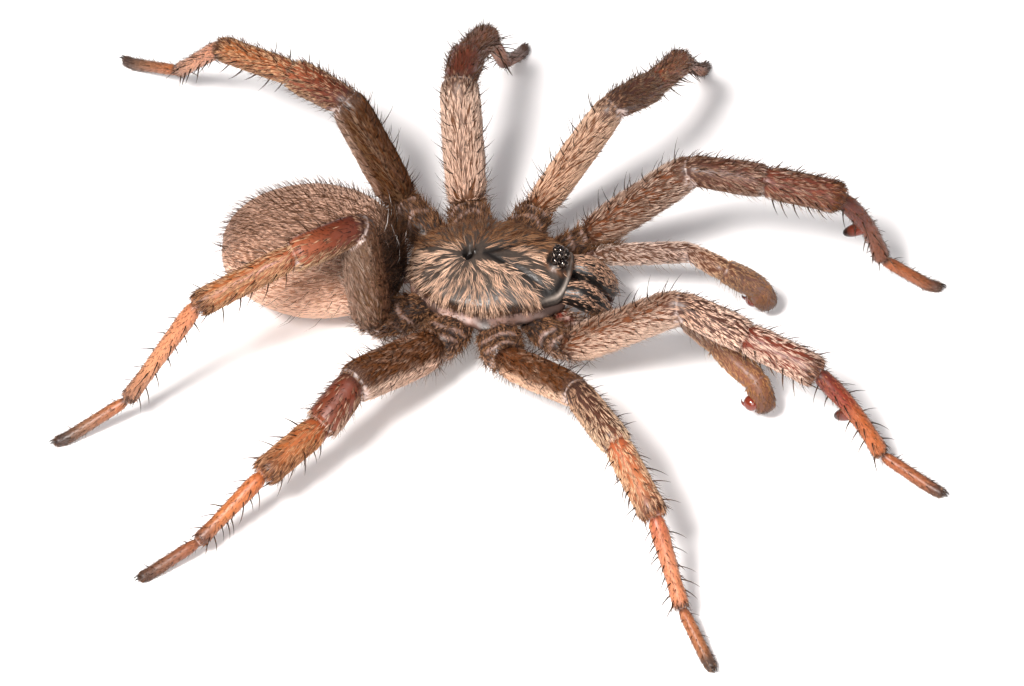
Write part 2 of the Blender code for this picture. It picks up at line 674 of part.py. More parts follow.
def build_fang(side_name):
    """One fang: a curved, pointed horn folded back under its jaw."""
    side = 1 if side_name == "left" else -1
    middle = np.array(FANG_MIDDLE) * [1, side, 1]
    rings = []
    for share in (0.0, 0.25, 0.5, 0.75):
        turn = math.radians(-24 - 88 * share)
        reach = np.array([math.cos(turn), 0.0, math.sin(turn)])
        along = np.array([math.sin(turn), 0.0, -math.cos(turn)])
        thick = 0.34 * (1 - 0.7 * share)
        rings.append(ring(middle + reach * (1.45 + 0.1 * share), along, thick, thick, 8))
    turn = math.radians(-24 - 100)
    tip = middle + 1.5 * np.array([math.cos(turn), 0.0, math.sin(turn)])
    return loft(f"fang_{side_name}", "dark fang", rings, tip=tip)


def build_pedicel():
    """The thin waist between the core and the abdomen."""
    start = CORE_MIDDLE[0] - CORE_HALF[0] - GAP
    end = ABDOMEN_FRONT + GAP
    rings = [ring((x, 0.0, 3.0), np.array([-1.0, 0.0, 0.0]), 0.62 * size, 0.55 * size)
             for x, size in ((start, 0.9), ((start + end) / 2, 1.0), (end, 0.9))]
    return loft("pedicel", "brown joint", rings)


def build_abdomen():
    """The egg-shaped hind body: rings that follow an oval, from a flat front to a blunt end."""
    first = 16
    half_length = (ABDOMEN_FRONT - ABDOMEN_BACK) / (1 + math.cos(math.radians(first)))
    middle = ABDOMEN_BACK + half_length
    rings = []
    for degrees in (first, 30, 46, 63, 80, 97, 114, 131, 148, 163):
        turn = math.radians(degrees)
        size = math.sin(turn) ** 0.85 * (1 - ABDOMEN_TAPER * max(-math.cos(turn), 0.0))
        level = ABDOMEN_LEVEL - 0.9 * max(math.cos(turn), 0.0) ** 4 - ABDOMEN_SAG * (1 - math.cos(turn)) / 2
        centre = (middle + half_length * math.cos(turn), 0.0, level)
        rings.append(ring(centre, np.array([-1.0, 0.0, 0.0]), ABDOMEN_HALF_WIDTH * size,
                          ABDOMEN_HALF_HEIGHT * size, BODY_SIDES))
    return loft("abdomen", "tan hair", rings, tip=(ABDOMEN_BACK, 0.0, ABDOMEN_LEVEL - ABDOMEN_SAG - 0.3))


def build_spinneret(side_name):
    """One of the two short spinnerets under the abdomen's end."""
    side = 1 if side_name == "left" else -1
    start = np.array([ABDOMEN_BACK + 1.1, side * 0.62, 1.28])
    along = unit((-0.62, side * 0.12, -0.78))
    rings = [ring(start + along * place, along, thick, thick, 8)
             for place, thick in ((0.0, 0.36), (0.4, 0.34), (0.8, 0.24))]
    return loft(f"spinneret_{side_name}", "brown joint", rings, tip=start + along)


def place_model(pieces):
    """Sets the origin in the middle of the model's footprint, on the floor."""
    corners = []
    for piece in pieces:
        flat = np.empty(len(piece.data.vertices) * 3, dtype=np.float32)
        piece.data.vertices.foreach_get("co", flat)
        points = flat.reshape(-1, 3)
        corners.append((points.min(axis=0), points.max(axis=0)))
    low = np.min([pair[0] for pair in corners], axis=0)
    high = np.max([pair[1] for pair in corners], axis=0)
    shift = np.array([(low[0] + high[0]) / 2, (low[1] + high[1]) / 2, low[2]])
    for piece in pieces:
        flat = np.empty(len(piece.data.vertices) * 3, dtype=np.float32)
        piece.data.vertices.foreach_get("co", flat)
        moved = flat.reshape(-1, 3) - shift
        piece.data.vertices.foreach_set("co", moved.ravel())
        piece.data.update()
    print("footprint middle in body millimetres:", np.round(shift / MM, 4))


def main():
    clear_scene()
    pieces = [build_core(), build_carapace(), build_eyes(), build_pedicel(), build_abdomen()]
    for side_name in ("left", "right"):
        pieces.append(build_chelicera(side_name))
        pieces.append(build_fang(side_name))
        pieces.append(build_spinneret(side_name))
        pieces.extend(build_palp(side_name))
        for pair in (1, 2, 3, 4):
            pieces.extend(build_leg(side_name, pair))
    grow_locks(pieces[4], {piece.name: tree_of(piece) for piece in pieces})
    grow_spines(pieces)
    place_model(pieces)
    spider = bpy.data.collections.new("trapdoor spider")
    bpy.context.scene.collection.children.link(spider)
    for piece in pieces:
        spider.objects.link(piece)


main()
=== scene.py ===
# %% [markdown]
# # A male trapdoor spider, life size
# The real animal is a hard, jointed shell with soft skin between its plates and a coat of fine
# hair over nearly all of it. It could be sculpted by hand, but here every surface is a formula:
# tubes along the legs, a dome for the back shield, an egg for the abdomen. The hair then grows
# on those same surfaces, so skin and coat always agree. Sizes are in millimetres.

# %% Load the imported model
import math

import bpy
import numpy as np
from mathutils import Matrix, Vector


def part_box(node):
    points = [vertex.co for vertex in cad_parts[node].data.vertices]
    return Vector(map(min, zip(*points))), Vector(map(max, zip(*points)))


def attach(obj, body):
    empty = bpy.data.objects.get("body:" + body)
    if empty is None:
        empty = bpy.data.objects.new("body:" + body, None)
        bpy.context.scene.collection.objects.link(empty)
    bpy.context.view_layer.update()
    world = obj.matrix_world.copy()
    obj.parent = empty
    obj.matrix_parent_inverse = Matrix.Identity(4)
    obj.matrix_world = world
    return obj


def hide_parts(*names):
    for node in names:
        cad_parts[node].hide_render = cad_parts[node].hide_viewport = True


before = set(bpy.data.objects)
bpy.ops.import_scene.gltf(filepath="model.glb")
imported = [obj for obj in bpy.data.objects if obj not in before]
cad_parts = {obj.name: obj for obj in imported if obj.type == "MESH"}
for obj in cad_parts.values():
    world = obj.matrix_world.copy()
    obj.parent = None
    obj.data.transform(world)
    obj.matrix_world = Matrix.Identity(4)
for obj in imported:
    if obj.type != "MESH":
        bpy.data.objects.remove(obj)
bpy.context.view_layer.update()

# %% [markdown]
# The shapes are worked out in the body's own frame: the spider faces +X, its left side is +Y,
# the floor is z = 0, and the origin lies under the middle of the back shield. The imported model
# has its origin in the middle of the footprint, so the shield's box gives the shift between them.

# %% Units, the body's frame and vectors
MM = 0.001
shield_low, shield_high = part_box("carapace")
BODY_ORIGIN = np.array([(shield_low.x + shield_high.x) / 2, (shield_low.y + shield_high.y) / 2, 0.0])


def to_model(points):
    """Body millimetres as metres in the model's frame."""
    return np.asarray(points) * MM + BODY_ORIGIN


def unit(vectors):
    """Vectors at length one, along the last axis."""
    return vectors / np.maximum(np.linalg.norm(vectors, axis=-1, keepdims=True), 1e-12)


print("body origin in the model:", np.round(BODY_ORIGIN * 1000, 3), "mm")

# %% [markdown]
# ## Camera, floor and light
# The photograph looks down on the spider's right side from about 46 degrees over the floor,
# through a long lens, so that near and far legs show at nearly the same scale. A bare white
# table and one large soft lamp at the upper left give pale shadows to the right.

# %% Camera
VIEW_AZIMUTH = math.radians(9)
VIEW_HEIGHT = math.radians(46)
VIEW_DISTANCE = 340.0
VIEW_TARGET = np.array([1.9, -4.6, 3.0])
FOCAL_LENGTH = 204.0

view_back = np.array([math.sin(VIEW_AZIMUTH) * math.cos(VIEW_HEIGHT),
                      -math.cos(VIEW_AZIMUTH) * math.cos(VIEW_HEIGHT), math.sin(VIEW_HEIGHT)])
view_right = np.array([math.cos(VIEW_AZIMUTH), math.sin(VIEW_AZIMUTH), 0.0])
view_away = np.array([-math.sin(VIEW_AZIMUTH), math.cos(VIEW_AZIMUTH), 0.0])

camera_data = bpy.data.cameras.new("camera")
camera_data.lens = FOCAL_LENGTH
camera_data.clip_start = 0.01
camera = bpy.data.objects.new("camera", camera_data)
camera.location = to_model(VIEW_TARGET + view_back * VIEW_DISTANCE)
camera.rotation_mode = "QUATERNION"
camera.rotation_quaternion = Vector(-view_back).to_track_quat("-Z", "Y")
bpy.context.scene.collection.objects.link(camera)
bpy.context.scene.camera = camera
print("camera:", VIEW_DISTANCE, "mm from the spider, lens", FOCAL_LENGTH, "mm")

# %% [markdown]
# Colours are given as sRGB hex values, as a paint program shows them. Shaders reckon in linear
# light, so one function turns a hex value into that. Materials are small node trees, and one
# function adds each node with its settings and its links.

# %% Colours and nodes


def linear(hex_colour):
    """An sRGB hex colour as linear light, with full alpha."""
    channels = np.array([int(hex_colour[k:k + 2], 16) / 255 for k in (1, 3, 5)])
    light = np.where(channels <= 0.04045, channels / 12.92, ((channels + 0.055) / 1.055) ** 2.4)
    return (*light, 1.0)


def rgb(hex_colour):
    """The same colour as an array of red, green and blue."""
    return np.array(linear(hex_colour)[:3])


def add_node(tree, kind, settings=None, links=None):
    """Adds one node. Settings fill its fields or its inputs, and links feed its inputs."""
    node = tree.nodes.new(kind)
    for name, value in (settings or {}).items():
        if isinstance(name, int) or name in node.inputs:
            node.inputs[name].default_value = value
        else:
            setattr(node, name, value)
    for name, (source, output) in (links or {}).items():
        tree.links.new(source.outputs[output], node.inputs[name])
    return node


def new_material(name, settings):
    """A Principled material, as the material, its node tree and its shader."""
    material = bpy.data.materials.new(name)
    material.use_nodes = True
    tree = material.node_tree
    shader = tree.nodes["Principled BSDF"]
    for socket, value in settings.items():
        shader.inputs[socket].default_value = value
    return material, tree, shader


# %% Floor and world
FLOOR_HALF = 1.5                 # metres
floor_mesh = bpy.data.meshes.new("floor")
floor_mesh.from_pydata([(-FLOOR_HALF, -FLOOR_HALF, 0), (FLOOR_HALF, -FLOOR_HALF, 0),
                        (FLOOR_HALF, FLOOR_HALF, 0), (-FLOOR_HALF, FLOOR_HALF, 0)], [], [(0, 1, 2, 3)])
floor = bpy.data.objects.new("floor", floor_mesh)
bpy.context.scene.collection.objects.link(floor)
# Uncoated white paper on a table lit from below: no gloss, and shadows that stay pale and warm.
white_paper, _, _ = new_material("white paper on a light table", {
    "Base Color": linear("#f2f1f2"), "Roughness": 0.9, "Specular IOR Level": 0.2,
    "Emission Color": linear("#fff6f2"), "Emission Strength": 0.1})
floor_mesh.materials.append(white_paper)

world = bpy.data.worlds.new("pale room")
bpy.context.scene.world = world
world.use_nodes = True
world.node_tree.nodes["Background"].inputs["Color"].default_value = linear("#f2f4fa")
world.node_tree.nodes["Background"].inputs["Strength"].default_value = 0.2
bpy.context.scene.view_settings.view_transform = "Standard"
print("floor and pale room are set")

# %% Lamps
UP = np.array([0.0, 0.0, 1.0])


def add_lamp(name, direction, distance, size, watts, colour):
    """A square lamp that looks at the spider from a direction. Distance and size are in metres."""
    light = bpy.data.lights.new(name, "AREA")
    light.size = size
    light.energy = watts
    light.color = linear(colour)[:3]
    lamp = bpy.data.objects.new(name, light)
    way = unit(np.asarray(direction, float))
    lamp.location = to_model(VIEW_TARGET) + way * distance
    lamp.rotation_mode = "QUATERNION"
    lamp.rotation_quaternion = Vector(-way).to_track_quat("-Z", "Y")
    bpy.context.scene.collection.objects.link(lamp)


add_lamp("softbox", -0.38 * view_right - 0.62 * view_away + UP, 0.45, 0.1, 3.6, "#fffaf6")
add_lamp("front fill", 0.1 * view_right - 1.0 * view_away + 0.6 * UP, 0.5, 0.3, 1.5, "#fffaf6")
add_lamp("back panel", 0.9 * view_right + 0.7 * view_away + 0.9 * UP, 0.5, 0.2, 0.22, "#f4f7ff")
print("three lamps are set")

# %% [markdown]
# ## Tools for surfaces
# A surface here is a grid of points: rows run along the part, columns run round it, and the
# last column repeats the first. From the grid come the closed mesh, the normals, and the way
# the hair lies, which is along the rows.

# %% Curves and rings


def smooth_table(places, table):
    """A smooth curve through a table's (place, value) pairs: a cubic between neighbours, whose
    slope at a pair is the mean slope of the two stretches beside it."""
    knots, values = np.array(table, float).T
    slopes = np.gradient(values, knots)
    k = np.clip(np.searchsorted(knots, places) - 1, 0, len(knots) - 2)
    width = knots[k + 1] - knots[k]
    t = np.clip((places - knots[k]) / width, 0, 1)
    return (values[k] * (2 * t ** 3 - 3 * t ** 2 + 1) + values[k + 1] * (3 * t ** 2 - 2 * t ** 3)
            + width * (slopes[k] * (t ** 3 - 2 * t ** 2 + t) + slopes[k + 1] * (t ** 3 - t ** 2)))


def tube_points(centres, level, rise, half_width, half_height, angles):
    """Oval rings: centre + level * half width * cos(angle) + rise * half height * sin(angle)."""
    cosine, sine = np.cos(angles), np.sin(angles)
    return (centres[:, None] + level[:, None] * (half_width * cosine)[..., None]
            + rise[:, None] * (half_height * sine)[..., None])


# %% Grids and closed meshes
def surface(points, **fields):
    """A grid with its normals and its lie, and any fields that are known on the grid."""
    along = np.gradient(points, axis=0)
    around = np.empty_like(points)
    around[:, 1:-1] = points[:, 2:] - points[:, :-2]
    around[:, 0] = points[:, 1] - points[:, -2]
    around[:, -1] = around[:, 0]
    made = {"points": points, "normal": unit(np.cross(around, along)), "lie": unit(along)}
    rows, columns = points.shape[:2]
    for name, value in fields.items():
        made[name] = np.broadcast_to(value, (rows, columns, np.shape(value)[-1]))
    return made


def closed_mesh(part):
    """Vertices, quads, triangles and colours of a grid that is closed by a pole at each end."""
    points, tint = part["points"][:, :-1], part["tint"][:, :-1]
    rows, columns = points.shape[:2]
    row, column = np.meshgrid(np.arange(rows - 1), np.arange(columns), indexing="ij")
    a = (row * columns + column).ravel()
    b = (row * columns + (column + 1) % columns).ravel()
    quads = np.stack((a, b, b + columns, a + columns), axis=-1)
    first, second = np.arange(columns), (np.arange(columns) + 1) % columns
    start, end = rows * columns, rows * columns + 1
    last = (rows - 1) * columns
    triangles = np.concatenate((np.stack((second, first, np.full(columns, start)), axis=-1),
                                np.stack((last + first, last + second, np.full(columns, end)), axis=-1)))
    vertices = np.concatenate((points.reshape(-1, 3), points[[0, -1]].mean(axis=1)))
    tints = np.concatenate((tint.reshape(-1, tint.shape[-1]), tint[[0, -1]].mean(axis=1)))
    return vertices, quads, triangles, tints


def join_parts(parts):
    """Stacks the arrays of several closed parts, with their vertex numbers shifted."""
    shifts = np.cumsum([0] + [len(part[0]) for part in parts[:-1]])
    quads = np.concatenate([part[1] + shift for part, shift in zip(parts, shifts)])
    triangles = np.concatenate([part[2] + shift for part, shift in zip(parts, shifts)])
    return (np.concatenate([part[0] for part in parts]), quads, triangles,
            np.concatenate([part[3] for part in parts]))


# %% Pieces
def add_piece(name, vertices, quads, triangles, tints, material, slot, patches=None):
    """Makes a smooth mesh object from arrays, in place and riding on the body. Tints become the
    point colour "tint", and patches, where given, the map OFBake."""
    mesh = bpy.data.meshes.new(name)
    corners = np.concatenate((quads.ravel(), triangles.ravel())).astype(np.int32)
    starts = np.concatenate((np.arange(len(quads)) * 4, len(quads) * 4 + np.arange(len(triangles)) * 3))
    mesh.vertices.add(len(vertices))
    mesh.vertices.foreach_set("co", to_model(vertices).astype(np.float32).ravel())
    mesh.loops.add(len(corners))
    mesh.loops.foreach_set("vertex_index", corners)
    mesh.polygons.add(len(starts))
    mesh.polygons.foreach_set("loop_start", starts.astype(np.int32))
    mesh.polygons.foreach_set("use_smooth", np.ones(len(starts), bool))
    mesh.update(calc_edges=True)
    colours = np.ones((len(vertices), 4), np.float32)
    colours[:, :3] = tints[:, :3]
    mesh.attributes.new("tint", "FLOAT_COLOR", "POINT").data.foreach_set("color", colours.ravel())
    if patches is not None:
        bake_map = mesh.uv_layers.new(name="OFBake")
        bake_map.uv.foreach_set("vector", patches[corners].astype(np.float32).ravel())
    mesh.materials.append(material)
    piece = bpy.data.objects.new(name, mesh)
    bpy.context.scene.collection.objects.link(piece)
    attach(piece, "root")
    print(f"{name}: {2 * len(quads) + len(triangles)} triangles")
    return piece


def add_parts(name, parts, material, slot):
    """Makes one piece from several grids, each closed."""
    return add_piece(name, *join_parts([closed_mesh(part) for part in parts]), material, slot)


# %% Tints on a grid
def shade(places, stops):
    """Colours along a ramp of (place, hex colour) stops, in linear light."""
    knots = [place for place, _ in stops]
    colours = np.array([rgb(colour) for _, colour in stops])
    return np.stack([np.interp(places, knots, colours[:, k]) for k in range(3)], axis=-1)


def blend_tints(first, second, share):
    """The first colour towards the second by a share from 0 to 1."""
    share = np.clip(share, 0, 1)[..., None]
    return first * (1 - share) + second * share


def paint(part, hex_colour):
    """Gives a whole grid one tint."""
    part["tint"] = np.broadcast_to(rgb(hex_colour), part["points"].shape)


# %% [markdown]
# ## Limbs
# Each leg has seven segments: coxa, trochanter, femur, patella, tibia, metatarsus and tarsus.
# Between two hard tubes lies soft pale skin, narrower than the tubes, which opens as a wedge on
# the underside of the knee. One tube per limb runs from the body to the claws, so no seam
# shows, and its radius and colour change along the way.

# %% The pose: joints of every limb
LEG_HIP = {1: (5.15, 4.75, 3.2), 2: (1.7, 6.3, 3.3), 3: (-2.5, 6.0, 3.3), 4: (-6.3, 5.1, 3.9)}
LEG_CORE_ANGLE = {1: 50, 2: 78, 3: 108, 4: 138}
LEG_LENGTH = {                   # femur, patella, tibia, metatarsus, tarsus
    1: (8.8, 4.3, 4.8, 6.5, 4.3),
    2: (8.3, 4.5, 5.0, 5.4, 4.1),
    3: (7.4, 3.1, 4.6, 5.3, 4.0),
    4: (7.1, 4.2, 6.3, 7.8, 5.0),
}
LEG_HALF_WIDTH = {               # coxa first, then the same five, coat included
    1: (0.86, 1.02, 1.05, 1.02, 0.55, 0.38),
    2: (1.25, 1.0, 1.0, 0.88, 0.52, 0.38),
    3: (1.28, 1.26, 1.12, 0.93, 0.5, 0.38),
    4: (1.15, 1.17, 1.06, 0.85, 0.53, 0.38),
}
LEG_POSE = {                     # yaw and pitch of four segments, then the tarsus's yaw
    ("left", 1): ((-2, 48), (0, -3), (8, -16), (24, -64), 4),
    ("left", 2): ((31, 55), (63, -20), (75, -22), (88, -47), 78),
    ("left", 3): ((105, 53), (90, -11), (82, -27), (76, -59), 78),
    ("left", 4): ((151, 55), (148, -4), (149, -14), (133, -49), 151),
    ("right", 1): ((8, 40), (0, -27), (19, -9), (17, -49), 23),
    ("right", 2): ((47, 27), (51, -2), (54, -18), (58, -44), 54),
    ("right", 3): ((122, 20), (122, -25), (128, -11), (132, -27), 141),
    ("right", 4): ((219, 81), (142, -3), (152, -20), (152, -55), 150),
}
TOE_LENGTH, TOE_LEVEL = 0.7, 0.3
PALP_HIP = (5.75, 3.05, 3.3)
PALP_CORE_ANGLE = 14
PALP_LENGTH = (6.0, 2.6, 3.3, 2.0)
PALP_HALF_WIDTH = (0.56, 0.68, 0.7, 0.82, 0.72)
PALP_POSE = {"left": ((-7, 18), (-30, 2), (38, -47), (20, -66)),
             "right": ((-9, 9), (24, -22), (37, -11), (47, -54))}
CORE_MIDDLE = -0.2               # the limbs start on an oval inside the body
CORE_HALF = (2.9, 2.05)
COXA_LEVEL = 2.55
print(len(LEG_POSE), "legs and", len(PALP_POSE), "palps are posed")

# %% Joints of a limb


def heading(yaw, pitch, side):
    """Unit vector of a yaw from +X towards that side and a pitch over the floor, in degrees."""
    turn, rise = math.radians(yaw) * side, math.radians(pitch)
    return np.array([math.cos(rise) * math.cos(turn), math.cos(rise) * math.sin(turn), math.sin(rise)])


def limb_joints(side_name, pair=None):
    """Joints of a leg, or of the palp where no pair is given, from inside the body to the tip."""
    side = 1 if side_name == "left" else -1
    hip = PALP_HIP if pair is None else LEG_HIP[pair]
    core = math.radians(PALP_CORE_ANGLE if pair is None else LEG_CORE_ANGLE[pair])
    joints = [np.array([CORE_MIDDLE + CORE_HALF[0] * math.cos(core),
                        side * CORE_HALF[1] * math.sin(core), COXA_LEVEL]),
              np.array([hip[0], side * hip[1], hip[2]])]
    pose = PALP_POSE[side_name] if pair is None else LEG_POSE[side_name, pair][:4]
    lengths = PALP_LENGTH if pair is None else LEG_LENGTH[pair]
    for (yaw, pitch), length in zip(pose, lengths):
        joints.append(joints[-1] + length * heading(yaw, pitch, side))
    if pair is not None:
        yaw = LEG_POSE[side_name, pair][4]
        straight = lengths[4] - TOE_LENGTH
        dip = math.degrees(math.asin((TOE_LEVEL - joints[-1][2]) / straight))
        joints.append(joints[-1] + straight * heading(yaw, dip, side))
        joints.append(joints[-1] + TOE_LENGTH * heading(yaw, 0, side))
    return np.array(joints)


# %% A smooth path with a steady upper side
BEND_REACH = 0.45                # the middle line rounds a joint within this distance
TWIST_REACH = 0.9                # and its upper side turns within this one
UPRIGHT_SEGMENT = 3              # the tibia, whose upper side is straight up


def running_mean(joints, values, places, reach):
    """Mean of a piecewise linear or constant quantity over each place plus and minus a reach.

    It is the difference of the quantity's running integral at the two ends, over twice the reach.
    """
    stops = np.concatenate(([0], np.cumsum(np.linalg.norm(np.diff(joints, axis=0), axis=1))))
    linear_values = len(values) == len(joints)
    steps = np.diff(stops)[:, None]
    slopes = np.diff(values, axis=0) / steps if linear_values else np.zeros_like(values)
    starts = values[:-1] if linear_values else values
    sums = np.concatenate((np.zeros((1, 3)), np.cumsum(starts * steps + slopes * steps ** 2 / 2, axis=0)))

    def integral(s):
        k = np.clip(np.searchsorted(stops, s, side="right") - 1, 0, len(steps) - 1)
        rest = (s - stops[k])[:, None]
        return sums[k] + starts[k] * rest + slopes[k] * rest ** 2 / 2

    return (integral(places + reach) - integral(places - reach)) / (2 * reach)


def upper_sides(ways, anchor):
    """The upper side of each segment: straight up at the anchor segment, and carried from there
    to its neighbours by the smallest turn that takes one direction to the next."""
    sides = [None] * len(ways)
    sides[anchor] = unit(UP - ways[anchor] * (ways[anchor] @ UP))
    order = [(k - 1, k) for k in range(anchor + 1, len(ways))]
    order += [(k + 1, k) for k in range(anchor - 1, -1, -1)]
    for old, new in order:
        before, after = ways[old], ways[new]
        turned = sides[old] - (sides[old] @ after) / (1 + before @ after) * (before + after)
        sides[new] = unit(turned - after * (turned @ after))
    return np.array(sides)


# %% Frame along a limb
def limb_frame(joints, places):
    """Middle line, and unit vectors along, to the left and up, at places along a limb."""
    ways = unit(np.diff(joints, axis=0))
    centres = running_mean(joints, joints, places, BEND_REACH)
    along = unit(running_mean(joints, ways, places, BEND_REACH))
    rise = running_mean(joints, upper_sides(ways, UPRIGHT_SEGMENT), places, TWIST_REACH)
    rise = unit(rise - along * np.sum(rise * along, axis=1, keepdims=True))
    return centres, along, np.cross(rise, along), rise


# %% Radius along a limb
COAT_DEPTH = (0.12, 0.15, 0.14, 0.12, 0.05, 0.03)    # by segment, coxa to tarsus
SWELL = {                        # (place along the segment, share of the half width)
    "coxa": ((0, 0.6), (0.3, 0.84), (0.56, 1.08), (0.68, 1.05), (0.76, 1.0), (0.84, 1.0),
             (0.94, 0.96), (1, 0.8)),
    "femur": ((0, 0.74), (0.07, 0.9), (0.25, 1.02), (0.55, 1.05), (0.85, 1.02), (0.96, 0.97), (1, 0.93)),
    "patella": ((0, 0.9), (0.1, 0.95), (0.45, 1.03), (0.8, 1.06), (0.94, 1.0), (1, 0.88)),
    "tibia": ((0, 0.84), (0.1, 0.95), (0.4, 1.02), (0.7, 1.02), (0.93, 0.97), (0.975, 0.86), (1, 0.62)),
    "metatarsus": ((0, 0.8), (0.08, 0.98), (0.4, 1.0), (0.75, 0.92), (0.92, 0.98), (0.97, 0.92), (1, 0.7)),
    "tarsus": ((0, 0.7), (0.08, 0.88), (0.4, 1.0), (0.75, 1.0), (0.92, 0.92), (1, 0.8)),
    "palp tibia": ((0, 0.88), (0.14, 0.97), (0.5, 1.07), (0.85, 1.02), (1, 0.95)),
    "palp tarsus": ((0, 1.05), (0.3, 1.08), (0.6, 1.06), (0.85, 0.9), (1, 0.7)),
}
LEG_KINDS = ("coxa", "femur", "patella", "tibia", "metatarsus", "tarsus")
PALP_KINDS = ("coxa", "femur", "patella", "palp tibia", "palp tarsus")
TIP_LENGTH = 0.3                 # the tip rounds off over this length


def segment_radius(kinds, widths, segment, share):
    """Half width of the hard tube at each row: the segment's, less the coat, times its swell."""
    half = np.zeros(len(share))
    for index, kind in enumerate(kinds):
        inside = segment == index
        half[inside] = (widths[index] - COAT_DEPTH[index]) * smooth_table(share[inside], SWELL[kind])
    return half


# %% Soft wedges at the joints and pale rims on the coxa
LEG_JOINTS = (                   # pinch all round, more pinch below, half length of the soft wedge
    (0.1, 0.06, 0.22), (0.05, 0.18, 0.85), (0.05, 0.06, 0.3), (0.08, 0.08, 0.3), (0.1, 0.0, 0.12))
PALP_JOINTS = ((0.1, 0.06, 0.22), (0.03, 0.08, 0.4), (0.01, 0.02, 0.0), (0.0, 0.0, 0.0))
PINCH_LENGTH = 0.17
CONDYLES = (0.74, 0.93)          # the rims' places, as shares of the coxa's length
RIM_LENGTH = 0.17
RIM_HEIGHT = 0.08


def joint_shape(stops, places, joints, top):
    """How much narrower the tube is beside the nearest joint, a bell curve of the distance to it,
    and the soft wedge, which is wide below (top = -1) and a mere line above."""
    below = np.clip(0.35 - top, 0, 1)
    distances = np.abs(places[:, None] - stops[None, 1:-1])
    beside = distances.min(axis=1)[:, None]
    pinch, pinch_below, wedge = np.array(joints)[distances.argmin(axis=1)].T
    gap = np.exp(-(beside / PINCH_LENGTH) ** 2)
    soft = np.clip((wedge[:, None] * below + 0.04 - beside) / 0.08, 0, 1)
    return gap * (pinch[:, None] + pinch_below[:, None] * below), soft


def coxa_rims(share, coxa_length, angles, phase):
    """Two raised rims near the coxa's end: steep bells round their places, bowed and uneven by
    sines of the angle, and only on the upper side."""
    top = np.sin(angles)[None]
    bow = 0.14 * (1 - top) + 0.03 * np.sin(3 * angles + 2.0 * phase)
    rim = sum(np.exp(-((share[:, None] - place + bow) * coxa_length / RIM_LENGTH) ** 4)
              for place in CONDYLES)
    uneven = 0.3 * np.sin(2 * angles + 2.0 * phase) + 0.2 * np.sin(5 * angles + phase)
    return rim * np.clip(2.2 * (top + 0.1 + uneven), 0, 1)


# %% Rows of a limb
FEMUR_DEPTH = 1.1                # height over width
COXA_HALF_HEIGHT = 1.0           # at most
METATARSUS_BOW = 0.35            # a male's first metatarsus is bowed upwards
LIMB_COLUMNS = 28
ROW_STEP, JOINT_STEP = 0.17, 0.055
FLOOR_GAP = 0.012


def limb_rows(stops):
    """Places of the rows along a limb: even steps, and finer ones near each joint and the rims."""
    even = np.arange(0, stops[-1], ROW_STEP)
    fine = (stops[1:-1, None] + np.arange(-0.5, 0.51, JOINT_STEP)).ravel()
    rims = (np.array(CONDYLES)[:, None] * stops[1] + np.arange(-0.22, 0.23, JOINT_STEP)).ravel()
    tip = stops[-1] - TIP_LENGTH * (1 - np.sin(np.linspace(0.1, 1, 9) * math.pi / 2))
    places = np.unique(np.round(np.concatenate((even, fine, rims, tip)), 3))
    return places[(places >= 0) & (places < stops[-1])]


# %% Building the limbs
def build_limb(side_name, pair=None):
    """The grid of one limb: oval rings along its smooth path. Its field "place" counts segments:
    0 at the body, 1 at the hip, and so on. "soft" is 1 on the soft wedges, "rim" on the rims."""
    joints = limb_joints(side_name, pair)
    widths = PALP_HALF_WIDTH if pair is None else LEG_HALF_WIDTH[pair]
    stops = np.concatenate(([0], np.cumsum(np.linalg.norm(np.diff(joints, axis=0), axis=1))))
    if pair is not None:
        stops = np.delete(stops, -2)
    places = limb_rows(stops)
    centres, along, level, rise = limb_frame(joints, places)
    k = np.clip(np.searchsorted(stops, places, side="right") - 1, 0, len(stops) - 2)
    share = (places - stops[k]) / np.diff(stops)[k]
    half = segment_radius(PALP_KINDS if pair is None else LEG_KINDS, widths, k, share)
    half = half * np.sqrt(1 - np.clip(1 - (stops[-1] - places) / TIP_LENGTH, 0, 1) ** 2)
    if pair == 1:
        centres = centres + rise * (np.where(k == 4, np.sin(math.pi * share), 0.0) * METATARSUS_BOW)[:, None]
    angles = np.linspace(0, 2 * math.pi, LIMB_COLUMNS + 1)
    top = np.sin(angles)[None]
    narrower, soft = joint_shape(stops, places, PALP_JOINTS if pair is None else LEG_JOINTS, top)
    rim = coxa_rims(share, stops[1], angles, pair or 0) * (k == 0)[:, None]
    half = half[:, None] * (1 - narrower) + RIM_HEIGHT * rim
    depth = np.where(k == 1, FEMUR_DEPTH, 1.0)
    depth = np.where(k == 0, min(1.0, COXA_HALF_HEIGHT / widths[0]), depth)[:, None]
    points = tube_points(centres, level, rise, half, half * depth, angles)
    points[..., 2] = np.maximum(points[..., 2], FLOOR_GAP)
    return surface(points, place=(k + share)[:, None, None], soft=soft[..., None], rim=rim[..., None],
                   top=top[..., None], side=np.cos(angles)[None, :, None])


LIMBS = {(side_name, pair): build_limb(side_name, pair)
         for side_name in ("left", "right") for pair in (1, 2, 3, 4, None)}
print(len(LIMBS), "limbs,", sum(limb["points"].shape[0] for limb in LIMBS.values()), "rings")

# %% [markdown]
# The cuticle's colour runs from dark brown at the body through chestnut to orange at the feet.
# The soft skin at the joints is pale and pinkish, most of all on the underside.

